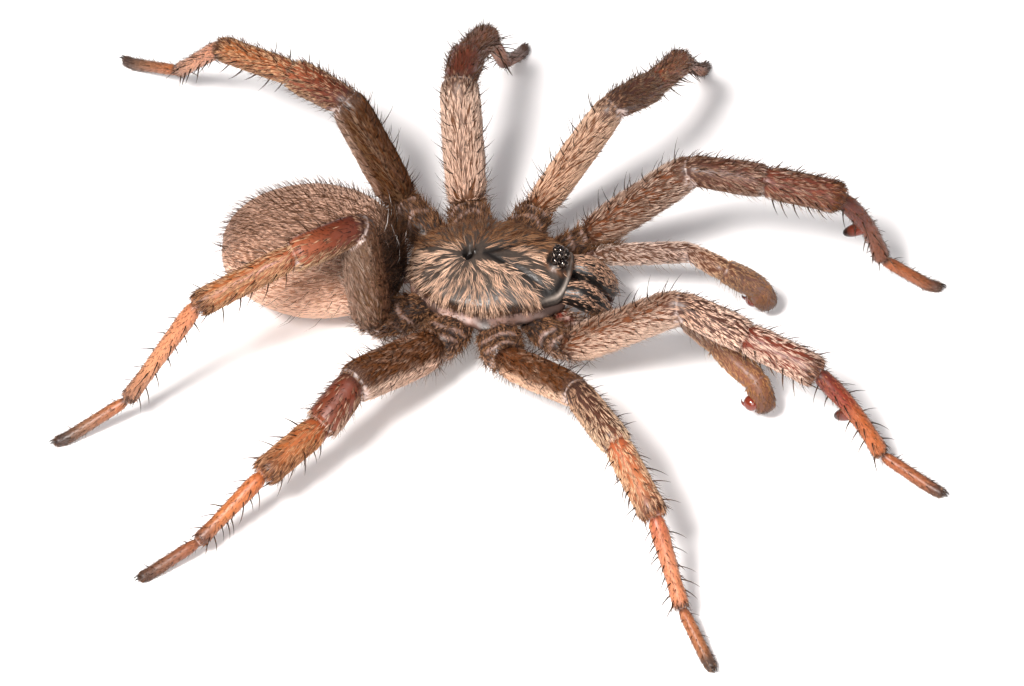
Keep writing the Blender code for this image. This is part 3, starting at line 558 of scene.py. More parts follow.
# %% Colours along the limbs
HIP_SKIN = ((0, "#2a201c"), (0.7, "#302622"), (1.0, "#2c1b15"))
LEG_SKIN = {                     # (place, colour) by pair; 1 is the hip, 2 the knee, 5 the tarsus's start
    1: ((1.15, "#6a3c22"), (1.9, "#643820"), (2.0, "#43291f"), (2.9, "#553226"), (3.05, "#642818"),
        (3.7, "#6c2c1a"), (3.95, "#4a261b"), (4.06, "#5c2015"), (4.35, "#7c2c18"), (4.5, "#94481e"),
        (4.92, "#a4582a"), (5.0, "#44291d"), (5.1, "#8a4824"), (5.7, "#80482a"), (5.88, "#55362a"),
        (6.0, "#332824")),
    2: ((1.12, "#6a3c20"), (1.9, "#5c3820"), (2.0, "#3a241b"), (2.5, "#4a2a1e"), (2.95, "#54301f"),
        (3.06, "#9a4e2c"), (3.6, "#a8653f"), (3.95, "#5a3526"), (4.06, "#a2563a"), (4.5, "#b27050"),
        (4.9, "#ae6a48"), (5.0, "#3c2620"), (5.1, "#90502c"), (5.7, "#84502e"), (5.85, "#4e382c"),
        (6.0, "#332824")),
    3: ((1.12, "#5c381e"), (1.9, "#583620"), (2.0, "#3c261d"), (2.15, "#5c2410"), (2.9, "#68301a"),
        (3.06, "#8a4420"), (3.6, "#985428"), (3.95, "#54321f"), (4.06, "#a2562a"), (4.6, "#ac6434"),
        (4.95, "#54352a"), (5.1, "#7c4428"), (5.6, "#6a4430"), (6.0, "#3c2d28")),
    4: ((1.12, "#50361f"), (1.9, "#5c4028"), (2.0, "#35211a"), (2.1, "#4c1c0c"), (2.5, "#642a12"),
        (2.95, "#8a4a2e"), (3.06, "#844424"), (3.8, "#905228"), (3.96, "#4e3022"), (4.06, "#ac6a48"),
        (4.6, "#b87c58"), (4.93, "#7a5440"), (5.0, "#352722"), (5.1, "#945632"), (5.6, "#74503a"),
        (5.85, "#443630"), (6.0, "#35292a")),
}
PALP_SKIN = ((0, "#3a241c"), (0.6, "#6b2c20"), (0.95, "#3c241c"), (1.1, "#5a3a28"), (2.0, "#4a2e20"),
             (2.4, "#5e3a28"), (3.0, "#583626"), (3.6, "#704430"), (4.2, "#68402c"), (5.0, "#4a2c1e"))
SOFT_SKIN, RIM_SKIN = rgb("#ccb6ae"), rgb("#9a7e74")
FAR_RUST_SHADE = rgb("#5a2a1a")        # painted shade, and a redder tint, on the far front legs past the knee
FAR_SHANK_SHADE = 0.62                 # and more painted shade on the first one's metatarsus

for (side_name, pair), limb in LIMBS.items():
    place = limb["place"][..., 0]
    hard = shade(place, PALP_SKIN if pair is None else HIP_SKIN + LEG_SKIN[pair])
    # Painted shade on the far front legs: darker and redder past the knee, darkest on the first one's
    # metatarsus.
    if side_name == "left" and pair in (1, 2, 3):
        hard = blend_tints(hard, FAR_RUST_SHADE, 0.45 * np.clip((place - 2) * 2, 0, 1) * (place < 4.98))
    if (side_name, pair) == ("left", 1):
        hard = hard * np.where((place > 4.0) & (place < 5.0), FAR_SHANK_SHADE, 1.0)[..., None]
    paleness = 0.4 if pair is None else 0.85
    hard = blend_tints(hard, SOFT_SKIN, paleness * limb["soft"][..., 0])
    limb["tint"] = blend_tints(hard, RIM_SKIN, 0.8 * limb["rim"][..., 0])
print("tinted", len(LIMBS), "limbs")

# %% [markdown]
# ## The body wall and the underside
# Below the shield the body is closed by soft folded skin and, in the middle of the underside,
# by a hard plate, the sternum. It is one bowl: rings that narrow from under the shield's edge
# down to the plate.

# %% Outline of the shield
SHIELD_HALF_LENGTH = 4.75
SHIELD_HALF_WIDTH = 3.72
SHIELD_UNDER = 4.05
SHIELD_EDGE = 4.5
FOVEA = np.array([-1.3, 0.0])     # the pit behind the shield's middle
FRONT_TAPER, BACK_TAPER = 0.52, 0.85


def shield_half_width(x):
    """Half width of the shield over x. In front it loses 0.52 of its width with the power 1.5 of x
    over the half length. Behind it is rounded by the power 0.6 of one less a power of x. A power of
    30 closes both ends, so the front stays blunt."""
    front = 1 - FRONT_TAPER * np.clip(x / SHIELD_HALF_LENGTH, 0, 1) ** 1.5
    back = np.clip(1 - BACK_TAPER * np.clip(-x / SHIELD_HALF_LENGTH, 0, 1) ** 2.2, 0, 1) ** 0.6
    ends = np.clip(1 - np.abs(x / (SHIELD_HALF_LENGTH + 0.02)) ** 30, 0, 1) ** 0.5
    return SHIELD_HALF_WIDTH * front * back * ends


def shield_reach(angles):
    """Distance from the fovea to the outline at each angle, by halving the interval 40 times."""
    low, high = np.zeros_like(angles), np.full_like(angles, 8.0)
    for _ in range(40):
        middle = (low + high) / 2
        x, y = FOVEA[0] + middle * np.cos(angles), middle * np.sin(angles)
        inside = np.abs(y) < shield_half_width(x)
        low, high = np.where(inside, middle, low), np.where(inside, high, middle)
    return low


print("shield:", 2 * SHIELD_HALF_LENGTH, "x", 2 * SHIELD_HALF_WIDTH, "mm")

# %% Body wall
WALL_RINGS = (                   # place on the way down, share of the outline, height
    (0.0, 0.88, 4.3), (0.1, 0.97, 4.12), (0.2, 1.08, 3.98), (0.3, 1.12, 3.72), (0.4, 1.02, 3.3),
    (0.5, 0.88, 2.75), (0.65, 0.72, 2.15), (0.78, 0.6, 1.75), (0.9, 0.42, 1.58), (1.0, 0.12, 1.52))
WALL_COLUMNS, WALL_ROWS = 96, 36
WALL_WEB = 0.12                  # how far the wall stretches out between the legs' bases
WALL_MIDDLE = np.array([-0.2, 0.0])
# Tints down the wall: painted shade right under the shield's edge, a pinkish membrane band below it, then
# painted shade low down among the coxae, over the dark sternum.
WALL_TINTS_AND_SHADE = ((0, "#2c1a15"), (0.07, "#7e5c50"), (0.16, "#a4847a"), (0.26, "#8c6a5e"),
              (0.34, "#33221b"), (0.8, "#33241e"), (1, "#3a281f"))


def build_wall():
    """Rings round the body: the outline times a share that shrinks downwards, with shallow folds
    that are sines of the angle. A web bulges out at the sides, and the front is drawn in."""
    angles = -np.linspace(0, 2 * math.pi, WALL_COLUMNS + 1)
    down = np.linspace(0, 1, WALL_ROWS)
    table = np.array(WALL_RINGS)
    share = smooth_table(down, table[:, :2])
    level = smooth_table(down, table[:, [0, 2]])
    reach = shield_reach(angles)
    waves = 0.035 * np.sin(9 * angles) + 0.015 * np.sin(31 * angles)
    folds = 1 + waves[None] * np.sin(math.pi * down)[:, None]
    sides = np.clip(np.abs(np.sin(angles)) * 1.5 - 0.4, 0, 1)[None]
    web = WALL_WEB * sides * np.exp(-((down - 0.38) / 0.1) ** 2)[:, None]
    front_in = 0.14 * np.clip(np.cos(angles) * 2 - 0.9, 0, 1)[None] * (down[:, None] < 0.5)
    middle = FOVEA * (1 - down[:, None]) + WALL_MIDDLE * down[:, None]
    wide = (share[:, None] + web - front_in) * folds
    x = middle[:, :1] + wide * reach * np.cos(angles)
    y = middle[:, 1:] + wide * reach * np.sin(angles)
    points = np.stack((x, y, np.broadcast_to(level[:, None], x.shape)), axis=-1)
    # Uneven pinkish membrane: its lighter streaks are partly painted wet highlights, and it is darker at the
    # front.
    pink_and_glints = 0.62 + 0.3 * np.sin(7 * angles + 1) + 0.25 * np.sin(16 * angles) + 0.15 * np.sin(41 * angles)
    pink_and_glints = np.clip(pink_and_glints * (1 - 0.6 * np.clip(np.cos(angles) * 2 - 0.6, 0, 1)), 0.15, 1.1)
    tint = shade(np.broadcast_to(down[:, None], x.shape), WALL_TINTS_AND_SHADE) * pink_and_glints[None, :, None]
    return surface(points, tint=tint)


wall = build_wall()
print("wall:", WALL_ROWS, "rings, the widest", round(float(np.ptp(wall["points"][..., 1])), 1), "mm across")

# %% [markdown]
# Cuticle is chitin, laid down in layers and tanned brown. Its colour could be a pattern in the
# material, but here it is worked out at each point of the mesh, so that the hair can share it.
# The material only adds what is finer than the mesh: small wrinkles that break up the gloss.
# Real wrinkles are a few hundredths of a millimetre wide, too fine to show, so they are drawn
# as coarse as the render needs.
#
# All ten limbs and the soft wall are one skin, because they pass into each other. The shield,
# the jaws and the abdomen have a skin each: on the real animal they are separate plates and a
# sack, and the lines where they meet the rest are real joints.

# %% The limb skin


def tinted(material_parts, grain, depth, contrast):
    """Feeds the point colour through fine noise into the shader, and the same noise into bump.
    The grain's size and the bump's depth are in millimetres."""
    _, tree, shader = material_parts
    tint = add_node(tree, "ShaderNodeAttribute", {"attribute_name": "tint"})
    place = add_node(tree, "ShaderNodeTexCoord")
    noise = add_node(tree, "ShaderNodeTexNoise", {"Scale": 1 / (grain * MM), "Detail": 4.0},
                     {"Vector": (place, "Object")})
    spread = add_node(tree, "ShaderNodeMapRange", {"To Min": 1 - contrast, "To Max": 1 + contrast},
                      {"Value": (noise, "Fac")})
    mix = add_node(tree, "ShaderNodeMix", {"data_type": "RGBA", "blend_type": "MULTIPLY", 0: 1.0},
                   {6: (tint, "Color"), 7: (spread, "Result")})
    bump = add_node(tree, "ShaderNodeBump", {"Strength": 0.6, "Distance": depth * MM},
                    {"Height": (noise, "Fac")})
    tree.links.new(mix.outputs[2], shader.inputs["Base Color"])
    tree.links.new(bump.outputs["Normal"], shader.inputs["Normal"])
    return material_parts[0]


# Leg cuticle is a thin tanned shell: a broken, waxy gloss, warm where light reaches through it.
leg_cuticle = tinted(new_material("leg cuticle, tanned chitin", {"Roughness": 0.44}), 0.25, 0.03, 0.3)

limb_skin = add_parts("limb_skin", [*LIMBS.values(), wall], leg_cuticle, "leg_coat")
limb_nodes = [f"leg_{pair}_{side}_{part}" for pair in (1, 2, 3, 4) for side in ("left", "right")
              for part in ("coxa", "femur", "patella", "tibia", "foot")]
palp_nodes = [f"palp_{side}_{part}" for side in ("left", "right")
              for part in ("coxa", "femur", "tibia", "tarsus")]
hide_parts("sternum", *limb_nodes, *palp_nodes)

# %% [markdown]
# ## The back shield
# The shield is a dome with a raised head in front, a pit behind its middle, the fovea, and
# furrows that fan out from that pit. A disc grid centred on the pit follows this plan: rows run
# outwards from the pit over the rim and under it, which is also how the hair lies.

# %% The shield's height
RIDGE = ((-4.75, 4.65), (-4.2, 4.95), (-3.2, 5.3), (-1.8, 5.55), (0.0, 5.78), (1.5, 5.88), (2.6, 5.85),
         (3.5, 5.72), (4.2, 5.5), (4.75, 5.1))     # (x, height) along the middle, coat included
SHIELD_COAT = 0.09
EYE_MOUND = np.array([3.96, 0.0])
MOUND_HEIGHT = 0.78
GROOVE_ANGLES = (1.25, 1.8, 2.45)          # furrows between the legs, from the fovea, each side
NECK_START, NECK_SLOPE = 0.2, 0.54         # the neck groove: y = 0.2 + 0.54 x on each side
NECK_DEPTH, FURROW_DEPTH, PIT_DEPTH, KNOB_HEIGHT = 0.16, 0.06, 0.55, 0.42


def neck_distance(x, y):
    """Distance outwards from the neck groove's line."""
    return (np.abs(y) - NECK_START - NECK_SLOPE * x) / math.hypot(1, NECK_SLOPE)


def shield_height(x, y, angles, share):
    """Height of the shield's upper side over (x, y): a dome between the ridge and the edge, less
    bell curves for the neck groove, the furrows and the pit, plus ones for the knob in the pit
    and the eye mound."""
    ridge = smooth_table(x, RIDGE) - SHIELD_COAT
    across = np.clip(np.abs(y) / np.maximum(shield_half_width(x), 0.05), 0, 1)
    dome = SHIELD_EDGE + (ridge - SHIELD_EDGE) * np.clip(1 - across ** 2.3, 0, 1) ** 0.75
    turn = np.abs(np.arctan2(np.sin(angles), np.cos(angles)))
    fade = np.clip(share * 3, 0, 1) * np.clip((1 - share) * 4, 0, 1)
    neck = NECK_DEPTH * np.exp(-(neck_distance(x, y) / 0.22) ** 2) * fade * (x > -0.6)
    furrows = sum(FURROW_DEPTH * np.exp(-((turn - angle) / 0.09) ** 2) for angle in GROOVE_ANGLES) * fade
    ahead, out = x - FOVEA[0], np.abs(y)
    pit = PIT_DEPTH * np.exp(-((np.hypot((ahead + 0.1) / 0.3, out / 0.52)) ** 4))
    knob = KNOB_HEIGHT * np.exp(-((ahead - 0.12) ** 2 + out ** 2) / 0.03)
    mound = MOUND_HEIGHT * np.exp(-(np.hypot((x - EYE_MOUND[0]) / 0.52, y / 0.66)) ** 3)
    return dome - neck - furrows - pit + knob + mound


# %% The shield's grid
RIM_ARCH = 0.62                  # how far the rim rises in front, where it arches over the jaws
RIM_LEVEL = SHIELD_EDGE - 0.1
FOLD_BULGE = 0.05
SHIELD_COLUMNS = 160
SHIELD_ROWS = 74                 # from the pit to the rim


def rim_arch(x, y):
    """The arch: a ramp over x, times one less the cube of y over the arch's half width."""
    return RIM_ARCH * np.clip((x - 3.6) / 0.8, 0, 1) * np.clip(1 - (np.abs(y) / 2.05) ** 3, 0, 1)


def build_shield():
    """Disc grid: rows from the pit to the rim, round the rim's edge and back under it."""
    angles = -np.linspace(0, 2 * math.pi, SHIELD_COLUMNS + 1)
    out = np.concatenate((np.linspace(0.01, 0.97, SHIELD_ROWS), [0.985, 0.995, 1.0]))
    reach = shield_reach(angles) * 0.995
    x = FOVEA[0] + out[:, None] * reach * np.cos(angles)
    y = FOVEA[1] + out[:, None] * reach * np.sin(angles)
    z = shield_height(x, y, angles[None], out[:, None])
    rim = np.clip((out - 0.9) / 0.1, 0, 1)[:, None]
    lip = 0.05 * np.clip((x - 3.0) / 0.6, 0, 1) * np.exp(-((rim - 0.78) / 0.16) ** 2)
    arch = rim_arch(x, y)
    z = z * (1 - rim ** 4) + (RIM_LEVEL + arch) * rim ** 4
    z = z + 0.03 * np.exp(-((rim - 0.6) / 0.25) ** 2) + lip
    top = np.stack((x, y, z), axis=-1)
    fold = np.linspace(0, 1, 8)[1:, None]
    bulge = FOLD_BULGE * np.sin(math.pi * fold)
    turned = np.stack((top[-1, :, 0] + bulge * np.cos(angles), top[-1, :, 1] + bulge * np.sin(angles),
                       arch[-1] + RIM_LEVEL - (RIM_LEVEL - SHIELD_UNDER) * fold), axis=-1)
    inwards = np.array([FOVEA[0], 0, 0]) - top[-1]
    under = top[-1] + inwards * np.array([0.2, 0.5, 0.9])[:, None, None]
    under[..., 2] = SHIELD_UNDER + arch[-1] * np.array([0.8, 0.4, 0.0])[:, None]
    points = np.concatenate((top, turned, under))
    share = np.concatenate((out, np.full(len(turned) + len(under), 1.0)))
    return surface(points, share=share[:, None, None], angle=angles[None, :, None])


shield = build_shield()
shield_x, shield_y = shield["points"][..., 0], shield["points"][..., 1]
shield_share, shield_angle = shield["share"][..., 0], shield["angle"][..., 0]
print("shield: top at", round(float(shield["points"][..., 2].max()), 2), "mm")

# %% Marks on the shield
from_eyes = np.hypot(shield_x - EYE_MOUND[0], shield_y)
front = np.clip((shield_x - 3.3) / 0.5, 0, 1)
# Painted shade in the neck grooves, over their dark bare cuticle.
neck_groove_shade = np.exp(-(neck_distance(shield_x, shield_y) / 0.3) ** 2) * (shield_x > -0.6)
dark_front = np.clip((shield_share - 0.9) * 30, 0, 1) * front
# Painted shade in the pit of the fovea.
fovea_shade = np.exp(-(np.hypot(shield_x - FOVEA[0] + 0.1, shield_y) / 0.5) ** 4)
eye_ring = np.exp(-((from_eyes - 0.86) / 0.1) ** 2)
eye_field = np.clip((0.78 - from_eyes) * 12, 0, 1)
# Painted shade on the rim's turned edge and under the shield, except at the front.
turned_rim_shade = (shield_share > 0.97) * np.clip(4.2 - shield_x, 0, 1)
# The pale lip of the front rim, painted brighter towards its sides as a highlight along the arc.
lip = np.exp(-((shield_share - 0.984) / 0.011) ** 2) * np.clip((shield_x - 2.2) / 1.0, 0, 1)
lip = lip * np.clip(0.35 + 0.35 * np.abs(shield_y), 0, 0.9) * np.clip((shield_x - 3.1) / 1.2, 0.2, 1)

paint(shield, "#3e352f")
for mark, colour in ((neck_groove_shade + dark_front, "#15110f"), (fovea_shade, "#0c0806"), (eye_ring, "#5a3c28"),
                     (eye_field, "#080606"), (turned_rim_shade, "#1c120e"), (lip, "#b4a89e")):
    shield["tint"] = blend_tints(shield["tint"], rgb(colour), mark)

# Shield cuticle is thicker and darker than the legs': a smoother gloss over nearly black brown.
shield_cuticle = tinted(new_material("shield cuticle, dark tanned chitin", {"Roughness": 0.38}),
                        0.2, 0.05, 0.45)
shield_skin = add_parts("shield_skin", [shield], shield_cuticle, "shield")
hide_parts("carapace")

# %% [markdown]
# ## Jaws
# The two jaw bases, the chelicerae, reach forward from under the shield. Each is a blunt dome,
# flat on its inner side, and carries a fang folded underneath.

# %% Jaws
JAW_RINGS = (                    # x, height of the centre, half width, half height
    (4.3, 4.12, 0.82, 0.7), (5.05, 4.08, 0.84, 0.82), (5.5, 3.96, 0.9, 0.94), (6.1, 3.68, 0.92, 0.94),
    (6.7, 3.2, 0.86, 0.82), (7.1, 2.82, 0.68, 0.62), (7.3, 2.62, 0.44, 0.4), (7.42, 2.52, 0.1, 0.1))
JAW_ROWS, JAW_COLUMNS = 40, 40
JAW_COAT = 0.06
JAW_GAP = 0.3


def build_jaw(side):
    """Rounded rings along +X: the profile's centre height, half width and half height."""
    table = np.array(JAW_RINGS)
    share = np.linspace(0, 1, JAW_ROWS)
    x = table[0, 0] + (table[-1, 0] - table[0, 0]) * np.sin(share * math.pi / 2)
    height, wide, high = (smooth_table(x, table[:, [0, k]]) for k in (1, 2, 3))
    angles = np.linspace(0, 2 * math.pi, JAW_COLUMNS + 1)
    middle = table[:, 2].max() + JAW_GAP / 2
    centres = np.stack((x, np.full_like(x, side * middle), height), axis=-1)
    level = np.broadcast_to([0.0, 1.0, 0.0], centres.shape)
    rise = np.broadcast_to([0.0, 0.0, 1.0], centres.shape)
    points = tube_points(centres, level, rise, (wide - JAW_COAT)[:, None], (high - JAW_COAT)[:, None],
                         angles)
    return surface(points, share=share[:, None, None], top=np.sin(angles)[None, :, None],
                   side=side * np.cos(angles)[None, :, None])


JAWS = {side: build_jaw(side) for side in (1, -1)}
for jaw in JAWS.values():
    paint(jaw, "#14100e")
jaw_skin = add_parts("jaw_skin", list(JAWS.values()), shield_cuticle, "dark_cuticle")
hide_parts("chelicera_left", "chelicera_right")

# %% [markdown]
# ## Abdomen
# The abdomen is a soft sack, joined to the front body by a thin stalk, with two short spinnerets
# under its end. It is an egg: rings whose size follows the sine of the angle from front to back.

# %% Abdomen
ABDOMEN_FRONT, ABDOMEN_BACK = -5.25, -16.1
ABDOMEN_HALF_WIDTH, ABDOMEN_HALF_HEIGHT = 4.2, 3.7
ABDOMEN_LEVEL, ABDOMEN_SAG, ABDOMEN_TAPER = 4.35, 0.45, 0.06
ABDOMEN_ROWS, ABDOMEN_COLUMNS = 84, 104


def build_abdomen():
    """Rings from front to back: half length * cos(turn) along, sin(turn) ** 0.85 across."""
    turn = np.linspace(math.radians(3), math.radians(177), ABDOMEN_ROWS)
    half_length = (ABDOMEN_FRONT - ABDOMEN_BACK) / 2
    size = np.sin(turn) ** 0.85 * (1 - ABDOMEN_TAPER * np.clip(-np.cos(turn), 0, 1))
    level = ABDOMEN_LEVEL - 0.9 * np.clip(np.cos(turn), 0, 1) ** 4 - ABDOMEN_SAG * (1 - np.cos(turn)) / 2
    x = (ABDOMEN_FRONT + ABDOMEN_BACK) / 2 + half_length * np.cos(turn)
    centres = np.stack((x, np.zeros_like(x), level), axis=-1)
    angles = np.linspace(0, 2 * math.pi, ABDOMEN_COLUMNS + 1)
    across = np.broadcast_to([0.0, -1.0, 0.0], centres.shape)
    rise = np.broadcast_to([0.0, 0.0, 1.0], centres.shape)
    points = tube_points(centres, across, rise, (ABDOMEN_HALF_WIDTH * size)[:, None],
                         (ABDOMEN_HALF_HEIGHT * size)[:, None], angles)
    return surface(points, share=(turn / math.pi)[:, None, None], top=np.sin(angles)[None, :, None])


abdomen = build_abdomen()
abdomen["tint"] = shade(abdomen["top"][..., 0], ((-1, "#a8765a"), (0.2, "#946448"), (1, "#5c3e2c")))
# Painted shade on the abdomen's front face, which faces the shield, under its dark hair.
abdomen_front_shade = np.clip((abdomen["points"][..., 0] + 7.0) / 1.0, 0, 1)
abdomen["tint"] = blend_tints(abdomen["tint"], rgb("#2e1e15"), abdomen_front_shade)
print("abdomen:", round(ABDOMEN_FRONT - ABDOMEN_BACK, 2), "mm long")

# %% Stalk and spinnerets


def build_rod(start, end, half_widths, columns=20, rows=24):
    """A straight, round-ended rod: rings along a line, with the half width from a table."""
    start, end = np.asarray(start, float), np.asarray(end, float)
    share = (1 - np.cos(np.linspace(0.06, 1 - 0.03, rows) * math.pi)) / 2
    along = unit(end - start)
    level = unit(np.cross(UP + 0.01, along))
    rise = np.cross(along, level)
    half = smooth_table(share, half_widths) * np.sqrt(1 - np.clip(np.abs(2 * share - 1), 0, 1) ** 8)
    centres = start + (end - start) * share[:, None]
    angles = np.linspace(0, 2 * math.pi, columns + 1)
    points = tube_points(centres, np.broadcast_to(level, centres.shape),
                         np.broadcast_to(rise, centres.shape), half[:, None], half[:, None], angles)
    return surface(points, share=share[:, None, None], top=np.sin(angles)[None, :, None])


stalk = build_rod((-2.6, 0, 3.0), (-5.9, 0, 3.1), ((0, 0.6), (0.5, 0.5), (1, 0.7)))
paint(stalk, "#4a3028")
spinnerets = []
for side in (1, -1):
    for forward, out, long in ((0.0, 0.62, 1.25), (0.75, 0.4, 0.8)):
        start = np.array([ABDOMEN_BACK + 1.25 + forward, side * out, 1.6])
        end = start + unit(np.array([-0.62, side * 0.12, -0.78])) * long
        rod = build_rod(start, end, ((0, 0.34), (0.4, 0.34), (0.5, 0.28), (0.85, 0.2), (1, 0.12)))
        rod["tint"] = shade(rod["share"][..., 0], ((0, "#4a3026"), (1, "#7a5642")))
        spinnerets.append(rod)

# Abdomen skin is soft, thin cuticle that stretches with a meal: dull, and pinkish tan.
abdomen_cuticle = tinted(new_material("abdomen skin, soft cuticle", {"Roughness": 0.6}), 0.2, 0.03, 0.3)
abdomen_skin = add_parts("abdomen_skin", [abdomen, stalk, *spinnerets], abdomen_cuticle, "abdomen_coat")
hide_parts("abdomen", "pedicel", "spinneret_left", "spinneret_right")

# %% [markdown]
# ## Eyes, fangs and claws
# A trapdoor spider has eight small eyes close together on one mound. Each is a glossy black
# bead, sunk to about half its depth.

# %% Eyes
EYES = (                         # forward of the mound's middle, out from it, radius
    (0.1, 0.2, 0.27), (0.33, 0.4, 0.33), (-0.13, 0.5, 0.28), (-0.24, 0.23, 0.18))


def build_bead(centre, radius, columns=24, rows=16):
    """A ball as a tube along X: ring radius = sine of the angle from its pole."""
    turn = np.linspace(0.04, math.pi - 0.04, rows)
    centres = centre + np.stack((-radius * np.cos(turn), 0 * turn, 0 * turn), axis=-1)
    angles = np.linspace(0, 2 * math.pi, columns + 1)
    level = np.broadcast_to([0.0, 1.0, 0.0], centres.shape)
    rise = np.broadcast_to([0.0, 0.0, 1.0], centres.shape)
    size = (radius * np.sin(turn))[:, None]
    return surface(tube_points(centres, level, rise, size, size, angles), share=turn[:, None, None])


def mound_height(x, y):
    """Height of the shield at a point of the head."""
    angle = np.arctan2(y - FOVEA[1], x - FOVEA[0])
    return float(shield_height(np.array([x]), np.array([y]), np.array([angle]), np.array([0.8]))[0])


beads = []
for forward, out, radius in EYES:
    for side in (1, -1):
        x, y = EYE_MOUND[0] + forward, side * out
        bead = build_bead(np.array([x, y, mound_height(x, y) + 0.2 * radius]), radius)
        paint(bead, "#050405")
        beads.append(bead)

# A lens is clear, polished cuticle over a black cup: it looks like wet black glass, with one
# small bright glint from each lamp.
eye_glass = tinted(new_material("eye lens, clear black cornea", {
    "Roughness": 0.15, "Specular IOR Level": 0.8, "Specular Tint": linear("#ffe0c8"), "Coat Weight": 0.6,
    "Coat Roughness": 0.08}), 0.3, 0.002, 0.4)
eyes = add_parts("eyes", beads, eye_glass, "eye")
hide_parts("eye_group")

# %% [markdown]
# Fangs, claws and spurs are horns: solid cuticle that narrows to a point. They could be bent
# cones, but a ring carried along a curve keeps its width exact and its tip sharp.

# %% Fangs
FANG_MIDDLE = (5.45, 1.07, 2.45)           # of the arc that a fang follows
FANG_REACH, FANG_HALF_WIDTH, FANG_ROWS = 1.47, 0.34, 30


def build_horn(centres, rise, half_widths, columns=20):
    """A curved, pointed horn: round rings along a middle line that lies in one plane."""
    along = unit(np.gradient(centres, axis=0))
    level = unit(np.cross(rise, along))
    up = np.cross(along, level)
    angles = np.linspace(0, 2 * math.pi, columns + 1)
    points = tube_points(centres, level, up, half_widths[:, None], half_widths[:, None], angles)
    return surface(points, share=np.linspace(0, 1, len(centres))[:, None, None])


fangs = []
for side in (1, -1):
    share = np.linspace(0, 1, FANG_ROWS)
    turn = np.radians(-20 - 102 * share)
    reach = FANG_REACH + 0.06 * share
    centres = np.stack((FANG_MIDDLE[0] + reach * np.cos(turn), np.full(FANG_ROWS, side * FANG_MIDDLE[1]),
                        FANG_MIDDLE[2] + reach * np.sin(turn)), axis=-1)
    horn = build_horn(centres, np.array([0.0, 1.0, 0.0]), FANG_HALF_WIDTH * (1 - share) ** 0.6 + 0.01)
    horn["tint"] = shade(horn["share"][..., 0], ((0, "#3a140c"), (1, "#120807")))
    fangs.append(horn)

# A fang is the hardest, darkest chitin, polished by use: a tight, hard highlight.
fang_horn = tinted(new_material("fang, hard dark chitin", {"Roughness": 0.16, "Coat Weight": 0.4}),
                   0.4, 0.01, 0.2)
fang_piece = add_parts("fangs", fangs, fang_horn, "fang")
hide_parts("fang_left", "fang_right")

# %% [markdown]
# ## How the coat grows
# Particle hair is lost in an export, so each hair is a thin, three-sided, tapered spike of real
# mesh. Roots are drawn at random over a surface's cells, by their area times a density. A hair
# leaves the skin at its lift angle and bends back towards it, so its middle line is an arc.
# Hairs of one tuft start a little apart and draw together towards the tip.

# %% Roots of hairs
SEED = 11


def drift(points, size, seed):
    """Smooth noise, about -1 to 1: twice the mean of six sine waves of that length, each in a
    random direction."""
    random = np.random.default_rng((SEED, seed))
    ways = unit(random.normal(size=(6, 3))) * 2 * math.pi / size
    return np.sin(points @ ways.T + random.uniform(0, 2 * math.pi, 6)).mean(axis=-1) * 2


def scatter(part, per_square, density, seed):
    """Random roots: cells are drawn by area times density, one draw in each equal share of the
    sum so that no bald patch is left, and then a place inside the cell."""
    random = np.random.default_rng((SEED, seed))
    points = part["points"]
    side_a, side_b = points[1:, :-1] - points[:-1, :-1], points[:-1, 1:] - points[:-1, :-1]
    area = np.linalg.norm(np.cross(side_a, side_b), axis=-1)
    density = np.clip(np.broadcast_to(density, points.shape[:2]), 0, None)
    total = np.cumsum((area * (density[1:, :-1] + density[:-1, 1:]) / 2).ravel())
    count = int(total[-1] * per_square)
    draws = (np.arange(count) + random.random(count)) / count * total[-1]
    row, column = np.divmod(np.searchsorted(total, draws), area.shape[1])
    return roots_at(part, row + random.random(count), column + random.random(count))


def roots_at(part, rows, columns):
    """The fields of a grid at fractional rows and columns: the mean of a cell's four corners."""
    row = np.clip(rows.astype(int), 0, part["points"].shape[0] - 2)
    column = np.clip(columns.astype(int), 0, part["points"].shape[1] - 2)
    a, b = (rows - row)[:, None], (columns - column)[:, None]
    return {name: (field[row, column] * (1 - a) * (1 - b) + field[row + 1, column] * a * (1 - b)
                   + field[row, column + 1] * (1 - a) * b + field[row + 1, column + 1] * a * b)
            for name, field in part.items()}


# %% Where hairs lie on the map OFBake
PATCH = 0.003                    # size of a hair's patch on the map


def set_patches(parts):
    """Unwraps parts side by side: along each part across the map, round it in its own band."""
    for k, part in enumerate(parts):
        rows, columns = part["points"].shape[:2]
        along, around = np.linspace(0.01, 0.99, rows), np.linspace(0.03, 0.97, columns)
        across_map = (k + around[None]) / len(parts)
        part["patch"] = np.stack(np.broadcast_arrays(along[:, None], across_map), axis=-1)


# %% Hairs as mesh
ROOT_DEPTH = 0.02                # the root is sunk into the skin
TONE_SPREAD = 0.22               # from strand to strand


def hair_faces(rings, sides):
    """Faces of one closed spike: quads between its rings, triangles at the tip and the root."""
    k = np.arange(sides)
    after = (k + 1) % sides
    band = np.stack((k, after, after + sides, k + sides), axis=-1)
    quads = np.concatenate([band + ring * sides for ring in range(rings - 1)])
    last = (rings - 1) * sides
    tips = np.stack((last + k, last + after, np.full(sides, rings * sides)), axis=-1)
    base = np.stack((np.zeros(sides - 2, int), k[2:], k[1:-1]), axis=-1)
    return quads, np.concatenate((tips, base))


def as_tint(colour):
    """A hex colour as a row of linear light, or rows as they are."""
    return rgb(colour) if isinstance(colour, str) else colour[:, None]


def strand_tints(tints, level, along, strands):
    """Colours at each vertex: from the first tint to the second by level * (0.25 + 0.95 t)."""
    share = np.clip(np.clip(level, 0, 1.1)[:, None] * (0.25 + 0.95 * along), 0, 1)[..., None]
    first, second = (as_tint(np.repeat(tint, strands, axis=0) if not isinstance(tint, str) else tint)
                     for tint in tints)
    return first * (1 - share) + second * share


